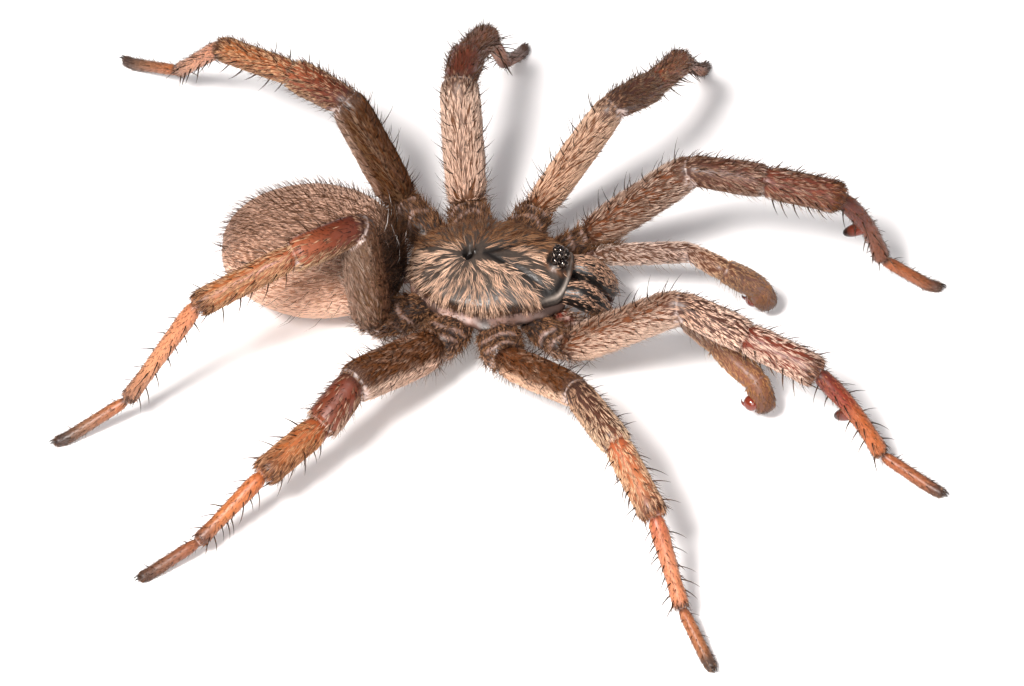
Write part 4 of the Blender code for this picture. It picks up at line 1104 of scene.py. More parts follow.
# %% Growing hairs
def grow(roots, length, width, lift, tints, seed, droop=0.25, turn=0.0, swing=0.15, rings=(0.0, 0.42),
         sides=3, strands=1, spread=0.05, gather=0.6, tone=None, taper=0.6):
    """Tapered, bent hairs from roots. A hair's direction turns from the lift angle over the skin
    by droop radians towards it, so at the share t of its length it is
        (sin(lift) - sin(lift - droop t)) / droop along the lie and
        (cos(lift - droop t) - cos(lift)) / droop off the skin, both times the length.
    Its half width is width * (1 - t) ** taper. Where no tone is given, it is drawn at random."""
    random = np.random.default_rng((SEED, seed, 1))
    count = len(roots["points"]) * strands

    def per_hair(value, amount):
        value = np.repeat(value, strands) if np.ndim(value) else np.full(count, float(value))
        return value * (1 + amount * random.uniform(-1, 1, count))

    roots = {name: np.repeat(field, strands, axis=0) for name, field in roots.items()}
    length, width, droop = per_hair(length, 0.25), per_hair(width, 0.2), per_hair(droop, 0.3)
    lift = per_hair(lift, 0.25)
    turn = per_hair(turn, 0.0) + random.normal(0, swing, count)
    normal = unit(roots["normal"])
    lie = unit(roots["lie"] - normal * np.sum(roots["lie"] * normal, axis=1, keepdims=True))
    across = np.cross(normal, lie)
    ahead = lie * np.cos(turn)[:, None] + across * np.sin(turn)[:, None]
    across = np.cross(normal, ahead)
    offset = random.uniform(-spread, spread, (2, count, 1)) if strands > 1 else np.zeros((2, count, 1))
    offset = offset[0] * across + offset[1] * ahead
    vertices = []
    for t in (*rings, 1.0):
        angle = lift - droop * t
        run = (np.sin(lift) - np.sin(angle)) / droop * length
        climb = (np.cos(angle) - np.cos(lift)) / droop * length
        middle = (roots["points"] - normal * ROOT_DEPTH + offset * (1 - gather * t)
                  + ahead * run[:, None] + normal * climb[:, None])
        if t == 1.0:
            vertices.append(middle[:, None])
            continue
        up = normal * np.cos(angle)[:, None] - ahead * np.sin(angle)[:, None]
        half = width * (1 - t) ** taper
        for k in range(sides):
            around = math.pi / 2 + 2 * math.pi * k / sides
            vertices.append((middle + across * (half * math.cos(around))[:, None]
                             + up * (half * math.sin(around))[:, None])[:, None])
    vertices = np.concatenate(vertices, axis=1)
    vertices[..., 2] = np.maximum(vertices[..., 2], 0.01)
    quads, triangles = hair_faces(len(rings), sides)
    shift = (np.arange(count) * vertices.shape[1])[:, None, None]
    along = np.array([t for t in rings for _ in range(sides)] + [1.0])
    if tone is None:
        level = random.uniform(0.2, 1, count)
    else:
        level = np.repeat(tone, strands) + random.normal(0, TONE_SPREAD, count)
    colours = strand_tints(tints, level, along, strands)
    stamp = np.stack((np.tile(np.linspace(-0.5, 0.5, sides), len(rings)), along[:-1] - 0.5), axis=-1)
    stamp = np.concatenate((stamp, [[0.0, 0.5]])) * PATCH
    patches = np.clip(roots["patch"], 0.004, 0.996)[:, None] + stamp
    return (vertices.reshape(-1, 3), (quads + shift).reshape(-1, 4), (triangles + shift).reshape(-1, 3),
            colours.reshape(-1, 3), patches.reshape(-1, 2))


# %% Coat pieces
def coat_piece(name, groups, material, slot):
    """Joins groups of hairs into one piece with its map."""
    arrays = join_parts([group[:4] for group in groups])
    return add_piece(name, *arrays, material, slot, np.concatenate([group[4] for group in groups]))


# %% [markdown]
# A spider's hairs, its setae, are hollow bristles of chitin. Each strand has its own colour from
# root to tip, so the material only sets the gloss. Their pale tips are partly the hair's golden
# colour and partly a painted sheen. A real strand is taken to be about 0.01 mm thick, too thin to
# show, so strands are drawn three to five times as thick, and fewer.

# %% Hair materials
def new_hair(name, roughness, gloss, bronze):
    """A material for hair: the point colour, with a warm gloss along the strand."""
    material, tree, shader = new_material(name, {"Roughness": roughness, "Specular IOR Level": gloss,
                                                 "Specular Tint": linear("#ffc49c"), "Metallic": bronze})
    tint = add_node(tree, "ShaderNodeAttribute", {"attribute_name": "tint"})
    tree.links.new(tint.outputs["Color"], shader.inputs["Base Color"])
    return material


# Lying hair has a satin gleam with a touch of bronze. Bristles are stiffer, smoother and darker.
coat_hair = new_hair("coat hair, fine bronze setae", 0.4, 0.55, 0.05)
bristle_hair = new_hair("bristles, dark stiff setae", 0.28, 0.5, 0.0)
print("hair materials:", coat_hair.name, "and", bristle_hair.name)

# %% [markdown]
# Over the lying coat stand bristles of many kinds. They differ in thickness, in how steeply they
# leave the skin, in how much they droop and swing aside, and in colour, so one table names them.

# %% Kinds of standing hair
STANDING = {                     # half width, lift, droop, swing, colours of the root and the tip
    "leg fuzz": (0.0165, 0.9, 0.5, 0.35, ("#2a150b", "#5a3620")),
    "leg underside": (0.013, 1.0, 0.6, 0.3, ("#8a7466", "#e0d2c6")),
    "leg hip": (0.018, 0.75, 0.7, 0.4, ("#24130b", "#b88660")),
    "leg whiskers": (0.016, 1.05, 0.5, 0.6, ("#1c100a", "#6a4a34")),
    "leg foot": (0.013, 0.65, 0.4, 0.3, ("#1e120c", "#5a3c28")),
    "leg fringe": (0.02, 0.62, 0.35, 0.3, ("#150d0a", "#3a261d")),
    "palp hip": (0.018, 0.8, 0.6, 0.4, ("#24130b", "#8a6244")),
    "palp underside": (0.014, 1.0, 0.5, 0.3, ("#4a382e", "#d8ccc0")),
    "palp fuzz": (0.014, 0.85, 0.5, 0.3, ("#1d120d", "#4a2f20")),
    "shield rim": (0.018, 0.5, 0.5, 0.3, ("#120b08", "#7a5640")),
    "shield back": (0.022, 0.8, 0.8, 0.4, ("#0e0807", "#2c1c15")),
    "jaw bristles": (0.018, 0.75, 0.6, 0.3, ("#0e0807", "#3a281f")),
    "abdomen dark": (0.0145, 1.05, 0.4, 0.3, ("#24120a", "#6a4226")),
    "abdomen tall": (0.018, 1.1, 0.55, 0.3, ("#1a0e08", "#4a2e1c")),
    "abdomen collar": (0.024, 1.0, 0.5, 0.4, ("#160d09", "#5a402e")),
    # Near-white bristles, whose white is partly painted glints.
    "abdomen pale": (0.022, 0.8, 0.6, 0.4, ("#8a8480", "#e8e4e2")),
}


def stand(kind, roots, length, seed, **settings):
    """Hairs of one of the kinds above."""
    width, lift, droop, swing, tints = STANDING[kind]
    return grow(roots, length, width, lift, tints, seed, droop=droop, swing=swing, **settings)


print(len(STANDING), "kinds of standing hair")

# %% [markdown]
# ## Coat of the legs
# Short hair lies along each leg, pale and golden on the femora, rusty towards the feet. It
# leaves a bare stripe on top of the knees. Over it stand dark fuzz, tufts at the hips, a dark
# fringe at each segment's end and long pale hair below. One density of hair would look like
# felt, so each kind is scattered on its own, from tables along the leg.

# %% Tables of the legs' coat
# Pale tips: partly the golden hair, partly a painted sheen of the brown hair.
COAT_TIP = {                     # (place, colour of the hair's tip) by pair
    1: ((0.6, "#c08e70"), (1.1, "#f2d2bc"), (1.9, "#f2d6c4"), (2.05, "#e4bca4"), (2.4, "#fad8c4"),
        (3.9, "#f8dac8"), (4.0, "#b07c64"), (4.3, "#d09070"), (5.0, "#f0b080"), (6.0, "#a08470")),
    2: ((0.6, "#c08e70"), (1.1, "#f0c6a8"), (1.9, "#f4d0b6"), (2.05, "#c8a084"), (2.9, "#f0d2b4"),
        (3.1, "#f8cca4"), (3.9, "#e8c0a0"), (4.0, "#e09c6c"), (5.0, "#f4b88c"), (6.0, "#a08470")),
    3: ((0.6, "#c08e70"), (1.1, "#f4d0ba"), (1.9, "#f4d6c2"), (2.05, "#c09a80"), (2.9, "#f0d0bc"),
        (3.1, "#dca070"), (3.9, "#c89a78"), (4.0, "#e8a070"), (5.0, "#c8906c"), (6.0, "#7c6050")),
    4: ((0.6, "#c08e70"), (1.1, "#c0a492"), (1.9, "#ccb2a2"), (2.05, "#b08c74"), (2.9, "#dcb894"),
        (3.1, "#e2b48c"), (3.9, "#d0a47e"), (4.0, "#f4b488"), (5.0, "#f0b488"), (6.0, "#8c7466")),
}
COAT_ROOT = ((0.6, "#3a251b"), (1.1, "#6e4a38"), (2.0, "#5a3e2e"), (3.9, "#744628"), (4.1, "#a05a34"),
             (6.0, "#5c4032"))
COAT_LENGTH = ((0.4, 0.5), (1.0, 0.5), (1.1, 0.85), (1.85, 0.75), (1.97, 0.35), (2.05, 0.5), (2.9, 0.62),
               (3.9, 0.55), (4.02, 0.3), (5.0, 0.27), (6.0, 0.24))
COAT_WIDTH = ((0, 0.026), (3.9, 0.026), (4.1, 0.015), (6, 0.013))
COAT_COVER = ((0.2, 0.2), (0.55, 0.6), (0.98, 0.8), (1.06, 1.0), (3.94, 1.0), (4.02, 0.8), (4.85, 0.8),
              (4.97, 1.0), (5.1, 0.9), (5.7, 1.0), (5.9, 1.2))
COAT_TONE = {                    # how light the coat is, by pair
    1: ((0.6, 0.6), (1.02, 0.5), (1.15, 0.85), (1.85, 0.9), (1.98, 0.6), (2.1, 1.2), (2.9, 1.5), (3.8, 1.15),
        (3.93, 0.4), (4.1, 0.6), (6, 0.8)),
    2: ((0.6, 0.7), (1.02, 0.5), (1.15, 0.95), (1.85, 0.95), (1.98, 0.5), (2.1, 0.95), (2.9, 1.1),
        (3.8, 1.0), (3.93, 0.4), (4.1, 0.95), (6, 0.7)),
    3: ((0.6, 0.7), (1.02, 0.45), (1.15, 0.95), (1.85, 1.0), (1.98, 0.4), (2.1, 0.4), (2.9, 0.7), (3.8, 0.8),
        (3.93, 0.4), (4.1, 0.95), (6, 0.6)),
    4: ((0.6, 0.7), (1.02, 0.5), (1.15, 0.7), (1.85, 0.75), (1.98, 0.5), (2.1, 0.5), (2.9, 0.9), (3.8, 1.0),
        (3.93, 0.4), (4.1, 1.1), (6, 0.6)),
}


def at_place(table, places):
    """A number from a table of (place, number) pairs, linear between them."""
    return np.interp(places, *np.array(table, float).T)


print("coat tables for", len(COAT_TONE), "pairs of legs")

# %% [markdown]
# The legs of a pair don't look quite alike, because the light falls on them from different sides
# and the hair on top of some femora turns from it. These values paint that light and shade into the coat.

# %% Differences from leg to leg
FEMUR_LIGHT_SHADE = {                   # painted light and shade: lighter or darker femora
    ("left", 1): -0.5, ("left", 2): 0.15, ("left", 3): 0.35, ("left", 4): -0.3, ("right", 4): -0.65}
KNEE_PAINTED_LIGHT = {("left", 4): 0.5, ("right", 2): 0.2, ("right", 1): 0.3}      # painted light: lighter patellae
FAR_SHADE = {1: 0.8, 2: 0.4, 3: 0.4, 4: -0.4}    # painted shade on the far legs' knees and shanks, painted light on the fourth
BACK_SHADE = {                   # painted shade: dark golden-brown tops of the femora
    ("left", 4): 0.9, ("right", 1): 0.75, ("right", 2): 1.0, ("right", 3): 1.0, ("right", 4): 0.7}
BARE_TOP = {1: 0.3, 2: 0.4, 3: 0.88, 4: 0.92}      # how bare the stripe on top of the patella is
STRIPE_START = {1: 0.9, 2: 0.8, 3: 0.3, 4: 0.2}    # the sine of the angle where that stripe starts
SHANK_STRIPE_START, SHANK_BARE = 0.84, 0.35
# Tints of that painted shade on the femora's tops.
SHADED_BACK_TIP, SHADED_BACK_ROOT = rgb("#64391a"), rgb("#2a1206")
PALE_ROOT, SHANK_RUST_SHADE, GREY_SHEEN = rgb("#c8a48e"), rgb("#7a3c22"), rgb("#b9aca0")
SWEEP = 0.25                     # the hair slants down on both sides of a limb
print("femora set apart on", len(FEMUR_LIGHT_SHADE), "legs")

# %% Cover, tone and tints of the lying hair
def lying_cover(limb, side_name, pair):
    """Density of the lying hair: a table, less the soft wedges, the rims and the bare stripe."""
    place, top = limb["place"][..., 0], limb["top"][..., 0]
    start = np.where(place < 3, STRIPE_START[pair], SHANK_STRIPE_START)
    stripe = np.clip((top - start) / (1 - start) * 3, 0, 1) * ((place > 2.04) & (place < 3.88))
    knee_bare = BARE_TOP[pair] * (0.6 if (side_name, pair) == ("left", 4) else 1)
    stripe = stripe * np.where(place < 2.96, knee_bare, SHANK_BARE)
    cover = at_place(COAT_COVER, place) * (1 - 0.9 * limb["soft"][..., 0]) * (1 - stripe)
    return cover * (1 - 0.85 * limb["rim"][..., 0])


def lying_tone(roots, side_name, pair, seed):
    """How far each tuft goes from its root tint to its tip tint, and the share of painted shade on the
    femur's top in it: tables along the leg, with noise, with the painted light and shade of each leg,
    and with streaks that run lengthwise because their noise changes fast round the leg and slowly
    along it."""
    random = np.random.default_rng((SEED, seed, 2))
    at = roots["place"][:, 0]
    tone = at_place(COAT_TONE[pair], at) + 0.08 * drift(roots["points"], 1.1, seed)
    tone = tone + random.normal(0, 0.06, len(at))
    tone = tone + FEMUR_LIGHT_SHADE.get((side_name, pair), 0.0) * (at < 2)
    tone = tone + KNEE_PAINTED_LIGHT.get((side_name, pair), 0.0) * ((at > 2.05) & (at < 3))
    back_start = 1.9 if pair == 1 else 0.4
    back = BACK_SHADE.get((side_name, pair), 0.0) * np.clip(roots["top"][:, 0] * 3 - back_start, 0, 1)
    back = back * np.clip((2.05 - at) * 8, 0, 1) * np.clip((at - 0.9) * 8, 0, 1)
    stretched = np.concatenate((roots["side"] / 0.2, roots["top"] / 0.2, 4 * roots["place"]), axis=-1)
    streaks = drift(stretched, 1.0, seed + 9)
    tone = tone + (0.28 + 0.3 * back) * streaks - 0.12 * back
    if side_name == "left":
        tone = tone - FAR_SHADE[pair] * ((at > 2.05) & (at < 4.9))
    return tone, back * np.clip(1.05 + 0.7 * streaks, 0.4, 1.15)


def lying_tints(roots, side_name, pair, back):
    """Tints of the lying hair at its root and at its tip, with painted light, shade and sheen on some legs.
    """
    at = roots["place"][:, 0]
    root_tint = blend_tints(shade(at, COAT_ROOT), SHADED_BACK_ROOT, back)
    tip_tint = blend_tints(shade(at, COAT_TIP[pair]), SHADED_BACK_TIP, back)
    # Painted light on the right first knee and femur: paler roots.
    if (side_name, pair) == ("right", 1):
        knee, femur = (at > 2.05) & (at < 2.95), (at > 1.1) & (at < 2)
        root_tint = blend_tints(root_tint, PALE_ROOT, 0.9 * knee + 0.5 * femur)
    # Painted shade on the far first leg's metatarsus: darker, rustier hair.
    if (side_name, pair) == ("left", 1):
        shank = (at > 4) & (at < 5)
        root_tint = blend_tints(root_tint, SHANK_RUST_SHADE, 0.7 * shank)
        tip_tint = blend_tints(tip_tint, SHANK_RUST_SHADE, 0.75 * shank)
    # A painted grey sheen on the front face of the right hind femur.
    if (side_name, pair) == ("right", 4):
        sheen_on_front = np.clip((2.0 - at) * 6, 0, 1) * np.clip(0.6 - roots["top"][:, 0], 0, 1)
        root_tint = blend_tints(root_tint, GREY_SHEEN, 0.15 * sheen_on_front)
        tip_tint = blend_tints(tip_tint, GREY_SHEEN, 0.7 * sheen_on_front)
    # Painted shade on the far legs' knees and shanks: darker tips.
    if side_name == "left" and pair < 4:
        tip_tint = tip_tint * np.interp(at, (1.9, 2.1, 5, 5.2), (1, 0.6, 0.6, 0.8))[:, None]
    return root_tint, tip_tint


# %% Lying hair and standing hair of a leg
def lying_hair(limb, side_name, pair, seed):
    """The lying coat of a leg, in tufts of three strands."""
    roots = scatter(limb, 24.0, lying_cover(limb, side_name, pair), seed)
    at = roots["place"][:, 0]
    tone, back = lying_tone(roots, side_name, pair, seed)
    turn = SWEEP * roots["side"][:, 0] + 0.12 * drift(roots["points"], 1.6, seed + 1)
    lift = 0.2 + 0.16 * (pair == 1) * np.clip((2.1 - at) * 4, 0, 1)
    return grow(roots, at_place(COAT_LENGTH, at), at_place(COAT_WIDTH, at), lift,
                lying_tints(roots, side_name, pair, back), seed, droop=0.2, turn=turn, strands=3,
                spread=0.07, gather=0.3, tone=tone, swing=0.07)


FUZZ_DENSITY = ((1.0, 0.6), (1.96, 0.7), (2.04, 1.5), (3.96, 1.7), (4.04, 1.5))
FUZZ_LENGTH = ((0.5, 0.6), (1, 0.7), (2, 0.65), (3.9, 0.6), (4.1, 0.4), (6, 0.3))
FRINGES = ((3.93, 0.035, 1.0), (2.94, 0.03, 0.6), (4.94, 0.025, 0.8))     # place, width, weight


def standing_hair(limb, side_name, pair, seed):
    """The standing hair of a leg: fuzz, long hair below, hip tufts, whiskers, foot hair, fringes."""
    place, top, rim = limb["place"][..., 0], limb["top"][..., 0], limb["rim"][..., 0]
    near_hip = np.clip((place - 0.25) * 4, 0, 1)
    shaggy = 1 + 0.7 * ((side_name == "left") & (place > 2) & (place < 4))
    fuzz = scatter(limb, 8.0, shaggy * at_place(FUZZ_DENSITY, place) * (place > 1.0)
                   * np.clip(top + 0.9, 0.15, 1), seed + 2)
    below = scatter(limb, 7.0 if pair == 1 else 3.0,
                    (place > 0.4) * (place < 3.9) * np.clip(-top - 0.05, 0, 1), seed + 4)
    hip = scatter(limb, 18.0, near_hip * (place < 1.04) * np.clip(top + 1.1, 0.15, 1) * (1 - 0.6 * rim),
                  seed + 10)
    whiskers = scatter(limb, 11.0, near_hip * (place < 1.15) * (1 - 0.7 * rim), seed + 15)
    foot = scatter(limb, 60.0, np.clip((place - 5.5) * 3, 0, 1) + 0.22 * (place > 4.04), seed + 13)
    fringe = scatter(limb, 44.0, sum(weight * np.exp(-((place - end) / width) ** 2)
                                     for end, width, weight in FRINGES), seed + 6)
    return [
        stand("leg fuzz", fuzz, at_place(FUZZ_LENGTH, fuzz["place"][:, 0]), seed + 3),
        stand("leg underside", below, 0.85, seed + 5),
        stand("leg hip", hip, 0.6, seed + 12, strands=3, spread=0.08,
              tone=0.5 + 0.5 * drift(hip["points"], 0.8, seed + 11)),
        stand("leg whiskers", whiskers, 1.0, seed + 16),
        stand("leg foot", foot, 0.25, seed + 14),
        stand("leg fringe", fringe, 0.42, seed + 7)]


# %% The eight leg coats
for side_number, side_name in enumerate(("left", "right")):
    for pair in (1, 2, 3, 4):
        limb, seed = LIMBS[side_name, pair], 100 * pair + 20 * side_number
        set_patches([limb])
        groups = [lying_hair(limb, side_name, pair, seed), *standing_hair(limb, side_name, pair, seed)]
        coat_piece(f"leg_coat_{pair}_{side_name}", groups, coat_hair, "leg_coat")

# %% [markdown]
# The palps are short feelers beside the jaws. Their coat is like the legs', paler on the femur
# and brown on the swollen last segment.

# %% Coat of the palps
PALP_COVER = ((0.3, 0.2), (0.8, 0.5), (1.0, 1), (5.0, 1))
PALP_COAT_LENGTH = ((0, 0.4), (1, 0.5), (2, 0.45), (3, 0.36), (5, 0.26))
PALP_FUZZ_LENGTH = ((1, 0.6), (3, 0.5), (5, 0.35))
PALP_TONE = ((1, 1.0), (2, 1.0), (3, 0.9), (4, 0.8), (4.8, 0.5), (5, 0.3))
PALP_ROOT = ((1, "#6c4e42"), (3, "#704626"), (5, "#4a3020"))
# Pale tips: partly the golden hair, partly a painted sheen.
PALP_TIP = ((1.0, "#f6dccc"), (1.9, "#f4dacb"), (2.3, "#e8c8b2"), (3.0, "#dcb490"), (4.0, "#c89464"),
            (5.0, "#7c5a44"))


def palp_hair(palp, k):
    """All hair of one palp: the lying coat, hip tufts, long hair below and dark fuzz on top."""
    place, top = palp["place"][..., 0], palp["top"][..., 0]
    cover = at_place(PALP_COVER, place) * (1 - 0.9 * palp["soft"][..., 0])
    roots = scatter(palp, 24.0, cover * (1 - 0.85 * palp["rim"][..., 0]), 600 + k)
    at, points = roots["place"][:, 0], roots["points"]
    tints = (shade(at, PALP_ROOT), shade(at, PALP_TIP))
    tone = at_place(PALP_TONE, at) + 0.2 * drift(points, 1.0, 605)
    turn = SWEEP * roots["side"][:, 0] + 0.2 * drift(points, 1.5, 606)
    on_hip = np.clip((place - 0.4) * 4, 0, 1) * (place < 1.25) * np.clip(top + 0.8, 0, 1)
    hip = scatter(palp, 18.0, on_hip, 660 + k)
    below = scatter(palp, 4.0, (place > 1) * (place < 4.2) * np.clip(-top + 0.1, 0, 1), 620 + k)
    fuzz = scatter(palp, 4.0, (place > 1) * np.clip(top + 0.6, 0, 1), 640 + k)
    return [
        grow(roots, at_place(PALP_COAT_LENGTH, at), 0.022, 0.32, tints, 610 + k, turn=turn, strands=3,
             spread=0.08, gather=0.45, tone=tone),
        stand("palp hip", hip, 0.75, 670 + k, strands=3, spread=0.08),
        stand("palp underside", below, 1.0, 630 + k),
        stand("palp fuzz", fuzz, at_place(PALP_FUZZ_LENGTH, fuzz["place"][:, 0]), 650 + k)]


palps = [LIMBS[side_name, None] for side_name in ("left", "right")]
set_patches(palps)
coat_piece("palp_coat", [group for k, palp in enumerate(palps) for group in palp_hair(palp, k)], coat_hair,
           "leg_coat")

# %% [markdown]
# The shield's hair is flat and golden. It fans out from the fovea in ragged streaks, leaves the
# neck grooves, the eyes and the front rim bare, and is darker on the far side, where less light
# falls. Dark bristles stand at its back edge.

# %% Where hair grows on the shield
shield["patch"] = np.stack((0.5 + 0.48 * shield_share * np.cos(shield_angle),
                            0.5 + 0.48 * shield_share * np.sin(shield_angle)), axis=-1)
top_side = (np.arange(len(shield_share)) < SHIELD_ROWS + 2)[:, None] * 1.0
outside = neck_distance(shield_x, shield_y)
bare_band = np.clip((outside + 0.42 + 0.05 * shield_x) * 4, 0, 1)
bare_band = bare_band * np.clip((0.3 + 0.12 * shield_x - outside) * 5, 0, 1)
bare_band = 0.93 * bare_band * np.clip((shield_x + 0.4) * 3, 0, 1)
streaks = drift(np.stack((7 * shield_angle, 1.7 * shield_share, 0 * shield_angle), axis=-1), 1.0, 50)
cover = top_side * (1 - 0.97 * bare_band) * np.clip((shield_share - 0.1) * 9, 0, 1)
cover = cover * np.clip(0.64 + 1.1 * streaks, 0.06, 1)
far_side = np.clip((shield_y - 0.2) * 1.2, 0, 1)
cover = np.maximum(cover, 0.75 * far_side * top_side * (shield_share > 0.15))
cover = cover * (from_eyes > 0.8) * (1 - 0.95 * front * (shield_share > 0.87))
print("shield covered to", round(float(cover[:SHIELD_ROWS].mean()), 2))

# %% Coat of the shield
FAN_RINGS = (0.0, 0.3, 0.68)     # one ring more than other hair, for a softer bend
roots = scatter(shield, 34.0, cover, 700)
points = roots["points"]
random = np.random.default_rng((SEED, 700, 2))
far = np.clip((points[:, 1] + 0.1) * 1.2, 0, 1)
fan = np.stack((9 * roots["angle"][:, 0], 2.5 * roots["share"][:, 0], 0 * far), axis=-1)
# Pale tips, partly golden hair and partly a painted sheen; on the far side the tone and the tips are painted
# darker as shade.
tone = 1.0 + 0.4 * drift(fan, 1.0, 56) + random.normal(0, 0.1, len(points)) - 0.35 * far
tip_tint = blend_tints(np.broadcast_to(rgb("#ffd8bc"), points.shape), rgb("#946a46"), 0.9 * far)
root_tint = np.broadcast_to(rgb("#502c18"), points.shape)
long = 0.85 - 0.35 * np.clip(points[:, 0] - 2.6, 0, 1)
turn = 0.35 * drift(points, 0.9, 52) + 0.25 * drift(points, 2.2, 55)
groups = [grow(roots, long, 0.017, 0.13, (root_tint, tip_tint), 701, droop=0.14, swing=0.12, turn=turn,
               rings=FAN_RINGS, strands=3, spread=0.07, gather=0.7, tone=tone)]

RIM_HAIRS = 1500
columns = np.random.default_rng((SEED, 702)).uniform(0, SHIELD_COLUMNS, RIM_HAIRS)
rows = np.random.default_rng((SEED, 706)).uniform(SHIELD_ROWS - 1, SHIELD_ROWS + 4, RIM_HAIRS)
rim_roots = roots_at(shield, rows, columns)
behind_arch = rim_roots["points"][:, 0] < 3.0
rim_roots = {name: field[behind_arch] for name, field in rim_roots.items()}
groups.append(stand("shield rim", rim_roots, 0.45, 703))
back = scatter(shield, 3.2, top_side * np.clip((-2.4 - shield_x) * 1.2, 0, 1), 704)
groups.append(stand("shield back", back, 1.25, 705, rings=FAN_RINGS))
coat_piece("shield_coat", groups, coat_hair, "shield")

# %% [markdown]
# Each jaw is black and glossy, with two bands of golden hair along it: one on top and one low on
# the outer side. Bristles stand at its tip.

# %% Coat of the jaws


def band(degrees, start, end, fade_in, fade_out):
    """1 between two angles, with a linear fade at each end, in degrees."""
    return np.clip((degrees - start) / fade_in, 0, 1) * np.clip((end - degrees) / fade_out, 0, 1)


set_patches(list(JAWS.values()))
groups = []
for k, (side, jaw) in enumerate(JAWS.items()):
    around = np.degrees(np.arctan2(jaw["top"][..., 0], jaw["side"][..., 0]))
    share, is_left = jaw["share"][..., 0], side > 0
    bands = band(around, 14, 54, 6, 6) + band(around, 72 - 26 * is_left, 118 + 32 * is_left, 6, 8)
    roots = scatter(jaw, 42.0, (bands + 0.06) * np.clip((0.85 - share) * 5, 0.12, 1), 710 + k)
    tone = 1.1 - 0.5 * roots["share"][:, 0] ** 2 + 0.1 * drift(roots["points"], 0.8, 53)
    turn = 0.25 * drift(roots["points"], 0.8, 54)
    # Pale golden tips, partly a painted sheen of the hair.
    groups.append(grow(roots, 0.42, 0.015, 0.2, ("#6a4632", "#ecc0a4"), 720 + k, strands=3, tone=tone,
                       droop=0.2, turn=turn, swing=0.12))
    bristles = scatter(jaw, 6.0, np.clip((share - 0.3) * 3, 0, 1) * (jaw["top"][..., 0] > -0.3), 730 + k)
    groups.append(stand("jaw bristles", bristles, 0.8, 740 + k))
coat_piece("jaw_coat", groups, coat_hair, "dark_cuticle")

# %% [markdown]
# The abdomen wears a dense tan velvet, darker on top, with dark bristles that stand out of it and
# give the furry outline. Its front face has dark hair and painted shade. It is made as two halves,
# so that neither piece passes 200,000 triangles.

# %% Coat of the abdomen
ABDOMEN_ROOT = ((-1, "#f0ccb4"), (0.3, "#e0b698"), (1, "#7c5640"))        # by height: -1 below, 1 on top
# Pale tips: partly the tan hair, partly a painted sheen.
ABDOMEN_TIP = ((-1, "#ffdcc6"), (0.2, "#ffdcc8"), (1, "#f2cab4"))
abdomen_x, abdomen_top = abdomen["points"][..., 0], abdomen["top"][..., 0]


def velvet(on_half, seed):
    """The short lying coat in tufts of three, with mottled tones."""
    roots = scatter(abdomen, 24.0, on_half, seed)
    top, points = roots["top"][:, 0], roots["points"]
    random = np.random.default_rng((SEED, seed, 2))
    mottle = drift(points, 2.2, 60) + 0.6 * drift(points, 0.9, 61)
    # Darker hair on the front face, and painted shade over it: the tone and both tints darken towards the
    # front.
    ahead = np.clip((points[:, 0] + 7.4) / 1.6, 0, 1)
    tone = 1.4 - 0.68 * np.clip(top, 0, 1) - 0.5 * ahead + 0.05 * mottle + random.normal(0, 0.08, len(top))
    tints = (blend_tints(shade(top, ABDOMEN_ROOT), rgb("#241610"), ahead),
             blend_tints(shade(top, ABDOMEN_TIP), rgb("#6a4a32"), 0.9 * ahead))
    return grow(roots, 0.5, 0.022, 0.22, tints, seed + 1, droop=0.2, strands=3, spread=0.085, gather=0.3,
                turn=0.2 * drift(points, 1.6, 62), tone=tone, swing=0.12)


def abdomen_bristles(on_half, seed):
    """Standing bristles: dark ones on top, tall ones, a dark collar in front, a few pale ones."""
    dark = scatter(abdomen, 15.0, on_half * np.clip(1.1 * abdomen_top, 0.04, 1), seed + 2)
    tall = scatter(abdomen, 1.6, on_half * np.clip(0.6 + abdomen_top, 0.1, 1), seed + 8)
    near_front = np.clip((abdomen_x + 7.4) / 1.4, 0, 1)
    collar = scatter(abdomen, 12.0, on_half * near_front * (abdomen_top > -0.5), seed + 4)
    # A few pale bristles at the abdomen's front: their white stands partly for glints on dark bristles.
    pale = scatter(abdomen, 0.9, on_half * np.clip((abdomen_x + 6.8) / 0.8, 0, 1), seed + 6)
    return [stand("abdomen dark", dark, 0.62 + 0.3 * dark["top"][:, 0], seed + 3),
            stand("abdomen tall", tall, 1.35, seed + 9),
            stand("abdomen collar", collar, 1.25, seed + 5),
            stand("abdomen pale", pale, 1.5, seed + 7)]


set_patches([abdomen])
for name, side, seed in (("abdomen_coat_left", 1, 760), ("abdomen_coat_right", -1, 780)):
    on_half = np.clip(abdomen["points"][..., 1] * side * 8 + 0.5, 0, 1)
    coat_piece(name, [velvet(on_half, seed), *abdomen_bristles(on_half, seed)], coat_hair, "abdomen_coat")

# %% [markdown]
# ## Spines
# Stout black spines stand on the legs: rows of curved bristles on top of the femora, and
# straight spines on the sides and undersides of tibiae and metatarsi.

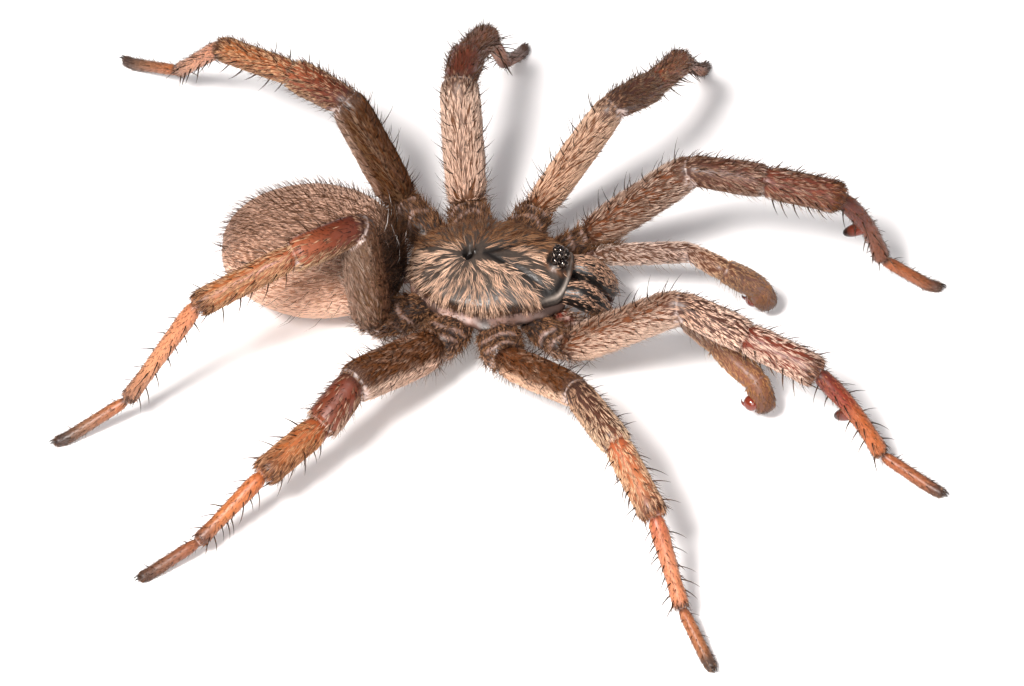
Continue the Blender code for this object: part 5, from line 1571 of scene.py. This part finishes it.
# %% Spines
SPINE_ROWS = (                   # first and last place, number, angle round the limb, length, half width
    (1.12, 1.92, 9, 90, 1.45, 0.036), (1.15, 1.92, 7, 55, 1.4, 0.034), (1.15, 1.92, 7, 125, 1.4, 0.034),
    (1.2, 1.9, 6, 15, 1.25, 0.03), (1.2, 1.9, 6, 165, 1.25, 0.03),
    (2.15, 2.9, 5, 45, 0.95, 0.032), (2.15, 2.9, 5, 135, 0.95, 0.032), (2.2, 2.85, 3, 90, 0.8, 0.03),
    (3.12, 3.95, 6, -45, 1.1, 0.055), (3.12, 3.95, 6, -135, 1.1, 0.055),
    (3.2, 3.85, 4, 15, 1.2, 0.045), (3.2, 3.85, 4, 165, 1.2, 0.045), (3.2, 3.8, 4, 80, 0.8, 0.036),
    (4.12, 4.94, 7, -40, 1.0, 0.05), (4.12, 4.94, 7, -140, 1.0, 0.05),
    (4.2, 4.85, 5, 25, 1.2, 0.042), (4.2, 4.85, 5, 155, 1.2, 0.042),
    (5.15, 5.75, 3, 40, 0.6, 0.026), (5.15, 5.75, 3, 140, 0.6, 0.026),
)
PLACE_JITTER, ANGLE_JITTER = 0.04, 14
SPINE_RINGS = (0.0, 0.2, 0.45, 0.7, 0.88)
spine_random = np.random.default_rng(SEED)
groups = []
for index, ((side_name, pair), limb) in enumerate(LIMBS.items()):
    if pair is None:
        continue
    place_of_row = limb["place"][:, 0, 0]
    for k, (first, last, count, angle, long, half) in enumerate(SPINE_ROWS):
        at = np.linspace(first, last, count) + spine_random.uniform(-PLACE_JITTER, PLACE_JITTER, count)
        turn = (angle + spine_random.uniform(-ANGLE_JITTER, ANGLE_JITTER, count)) % 360
        rows = np.interp(at, place_of_row, np.arange(len(place_of_row)))
        roots = roots_at(limb, rows, turn / 360 * LIMB_COLUMNS)
        groups.append(grow(roots, long, half, 1.05, ("#0a0605", "#2e1b14"), 800 + 20 * index + k, droop=0.5,
                           rings=SPINE_RINGS, sides=5, swing=0.2, taper=0.8))
coat_piece("spines", groups, bristle_hair, "dark_cuticle")

# %% [markdown]
# ## Claws, spurs and bulbs
# Each foot ends in two small hooked claws. A male has a blunt spur under each first metatarsus,
# and a red, glossy bulb under the tip of each palp.

# %% Claws
CLAW_SPREAD, CLAW_REACH, CLAW_DROP, CLAW_HALF_WIDTH = 0.09, 0.36, 0.18, 0.055


def build_claw(tip, way, side):
    """A hooked horn beside a foot's tip: forward by the sine of its turn, down by its cosine."""
    aside = np.cross(UP, way)
    turn = np.linspace(0, 1.5, 14)
    middle = (tip + aside * side * CLAW_SPREAD - way * 0.1 + way * (CLAW_REACH * np.sin(turn))[:, None]
              + UP * (0.17 + CLAW_DROP * (np.cos(turn) - 1))[:, None])
    middle[:, 2] = np.maximum(middle[:, 2], 0.05)
    claw = build_horn(middle, aside, CLAW_HALF_WIDTH * (1 - turn / 1.55) ** 0.6 + 0.004, 12)
    claw["tint"] = shade(claw["share"][..., 0], ((0, "#2a1c16"), (1, "#0c0807")))
    return claw


# %% Spurs
SPUR_PLACE = 4.5                 # the middle of the metatarsus
SPUR_LENGTH, SPUR_HALF_WIDTH = 1.25, 0.4
UNDERSIDE_COLUMN = 3 * LIMB_COLUMNS // 4


def build_spur(limb):
    """A blunt horn that stands on the underside, with a half width that ends as a round cap."""
    row = int(np.interp(SPUR_PLACE, limb["place"][:, 0, 0], np.arange(len(limb["place"]))))
    base = limb["points"][row, UNDERSIDE_COLUMN]
    out, along = unit(limb["normal"][row, UNDERSIDE_COLUMN]), unit(limb["lie"][row, 0])
    share = np.linspace(0, 1, 18)
    middle = base - out * 0.25 + out * (SPUR_LENGTH * share)[:, None] - along * (0.12 * share ** 2)[:, None]
    half_width = SPUR_HALF_WIDTH * np.sqrt(np.clip(1 - share ** 2.6, 0, 1)) + 0.01
    spur = build_horn(middle, np.cross(out, along), half_width, 16)
    spur["tint"] = shade(spur["share"][..., 0],
                         ((0, "#6a2614"), (0.55, "#54200f"), (0.8, "#20130e"), (1, "#140c0a")))
    return spur


horns = []
for (side_name, pair), limb in LIMBS.items():
    if pair is not None:
        tip = limb["points"][-1, :-1].mean(axis=0)
        way = unit(limb["lie"][-12, :-1].mean(axis=0) * [1, 1, 0])
        horns += [build_claw(tip, way, side) for side in (1, -1)]
    if pair == 1:
        horns.append(build_spur(limb))

# Claws are hard, dark chitin, smooth from use but thinner than fangs: a small clear highlight.
claw_horn = tinted(new_material("claw, hard dark chitin", {"Roughness": 0.25}), 0.3, 0.01, 0.2)
add_parts("claws", horns, claw_horn, "dark_cuticle")

# %% Bulbs
BULB_PLACE, BULB_RADIUS = 4.6, 0.5
bulbs = []
for side_name, column in (("left", 24), ("right", 16)):
    palp = LIMBS[side_name, None]
    row = int(np.interp(BULB_PLACE, palp["place"][:, 0, 0], np.arange(len(palp["place"]))))
    base, out = palp["points"][row, column], unit(palp["normal"][row, column])
    bulb = build_bead(base - out * 0.05, BULB_RADIUS, 28, 20)
    paint(bulb, "#6a2818")
    bulbs.append(bulb)
    share = np.linspace(0, 1, 20)
    lie = unit(palp["lie"][row, 0])
    hook = base + out * (0.32 + 0.2 * np.sin(share * 2.2))[:, None] - lie * (0.5 * share)[:, None]
    spike = build_horn(hook, np.cross(out, lie), 0.12 * (1 - share) ** 0.8 + 0.008, 12)
    spike["tint"] = shade(spike["share"][..., 0], ((0, "#7a2414"), (1, "#2a100b")))
    bulbs.append(spike)

# A bulb is a smooth, swollen sac of red-brown chitin: it shines like a wet berry.
bulb_gloss = tinted(new_material("bulb, red glossy chitin", {"Roughness": 0.12, "Coat Weight": 0.6}),
                    0.4, 0.01, 0.15)
add_parts("bulbs", bulbs, bulb_gloss, "red_brown_shank")
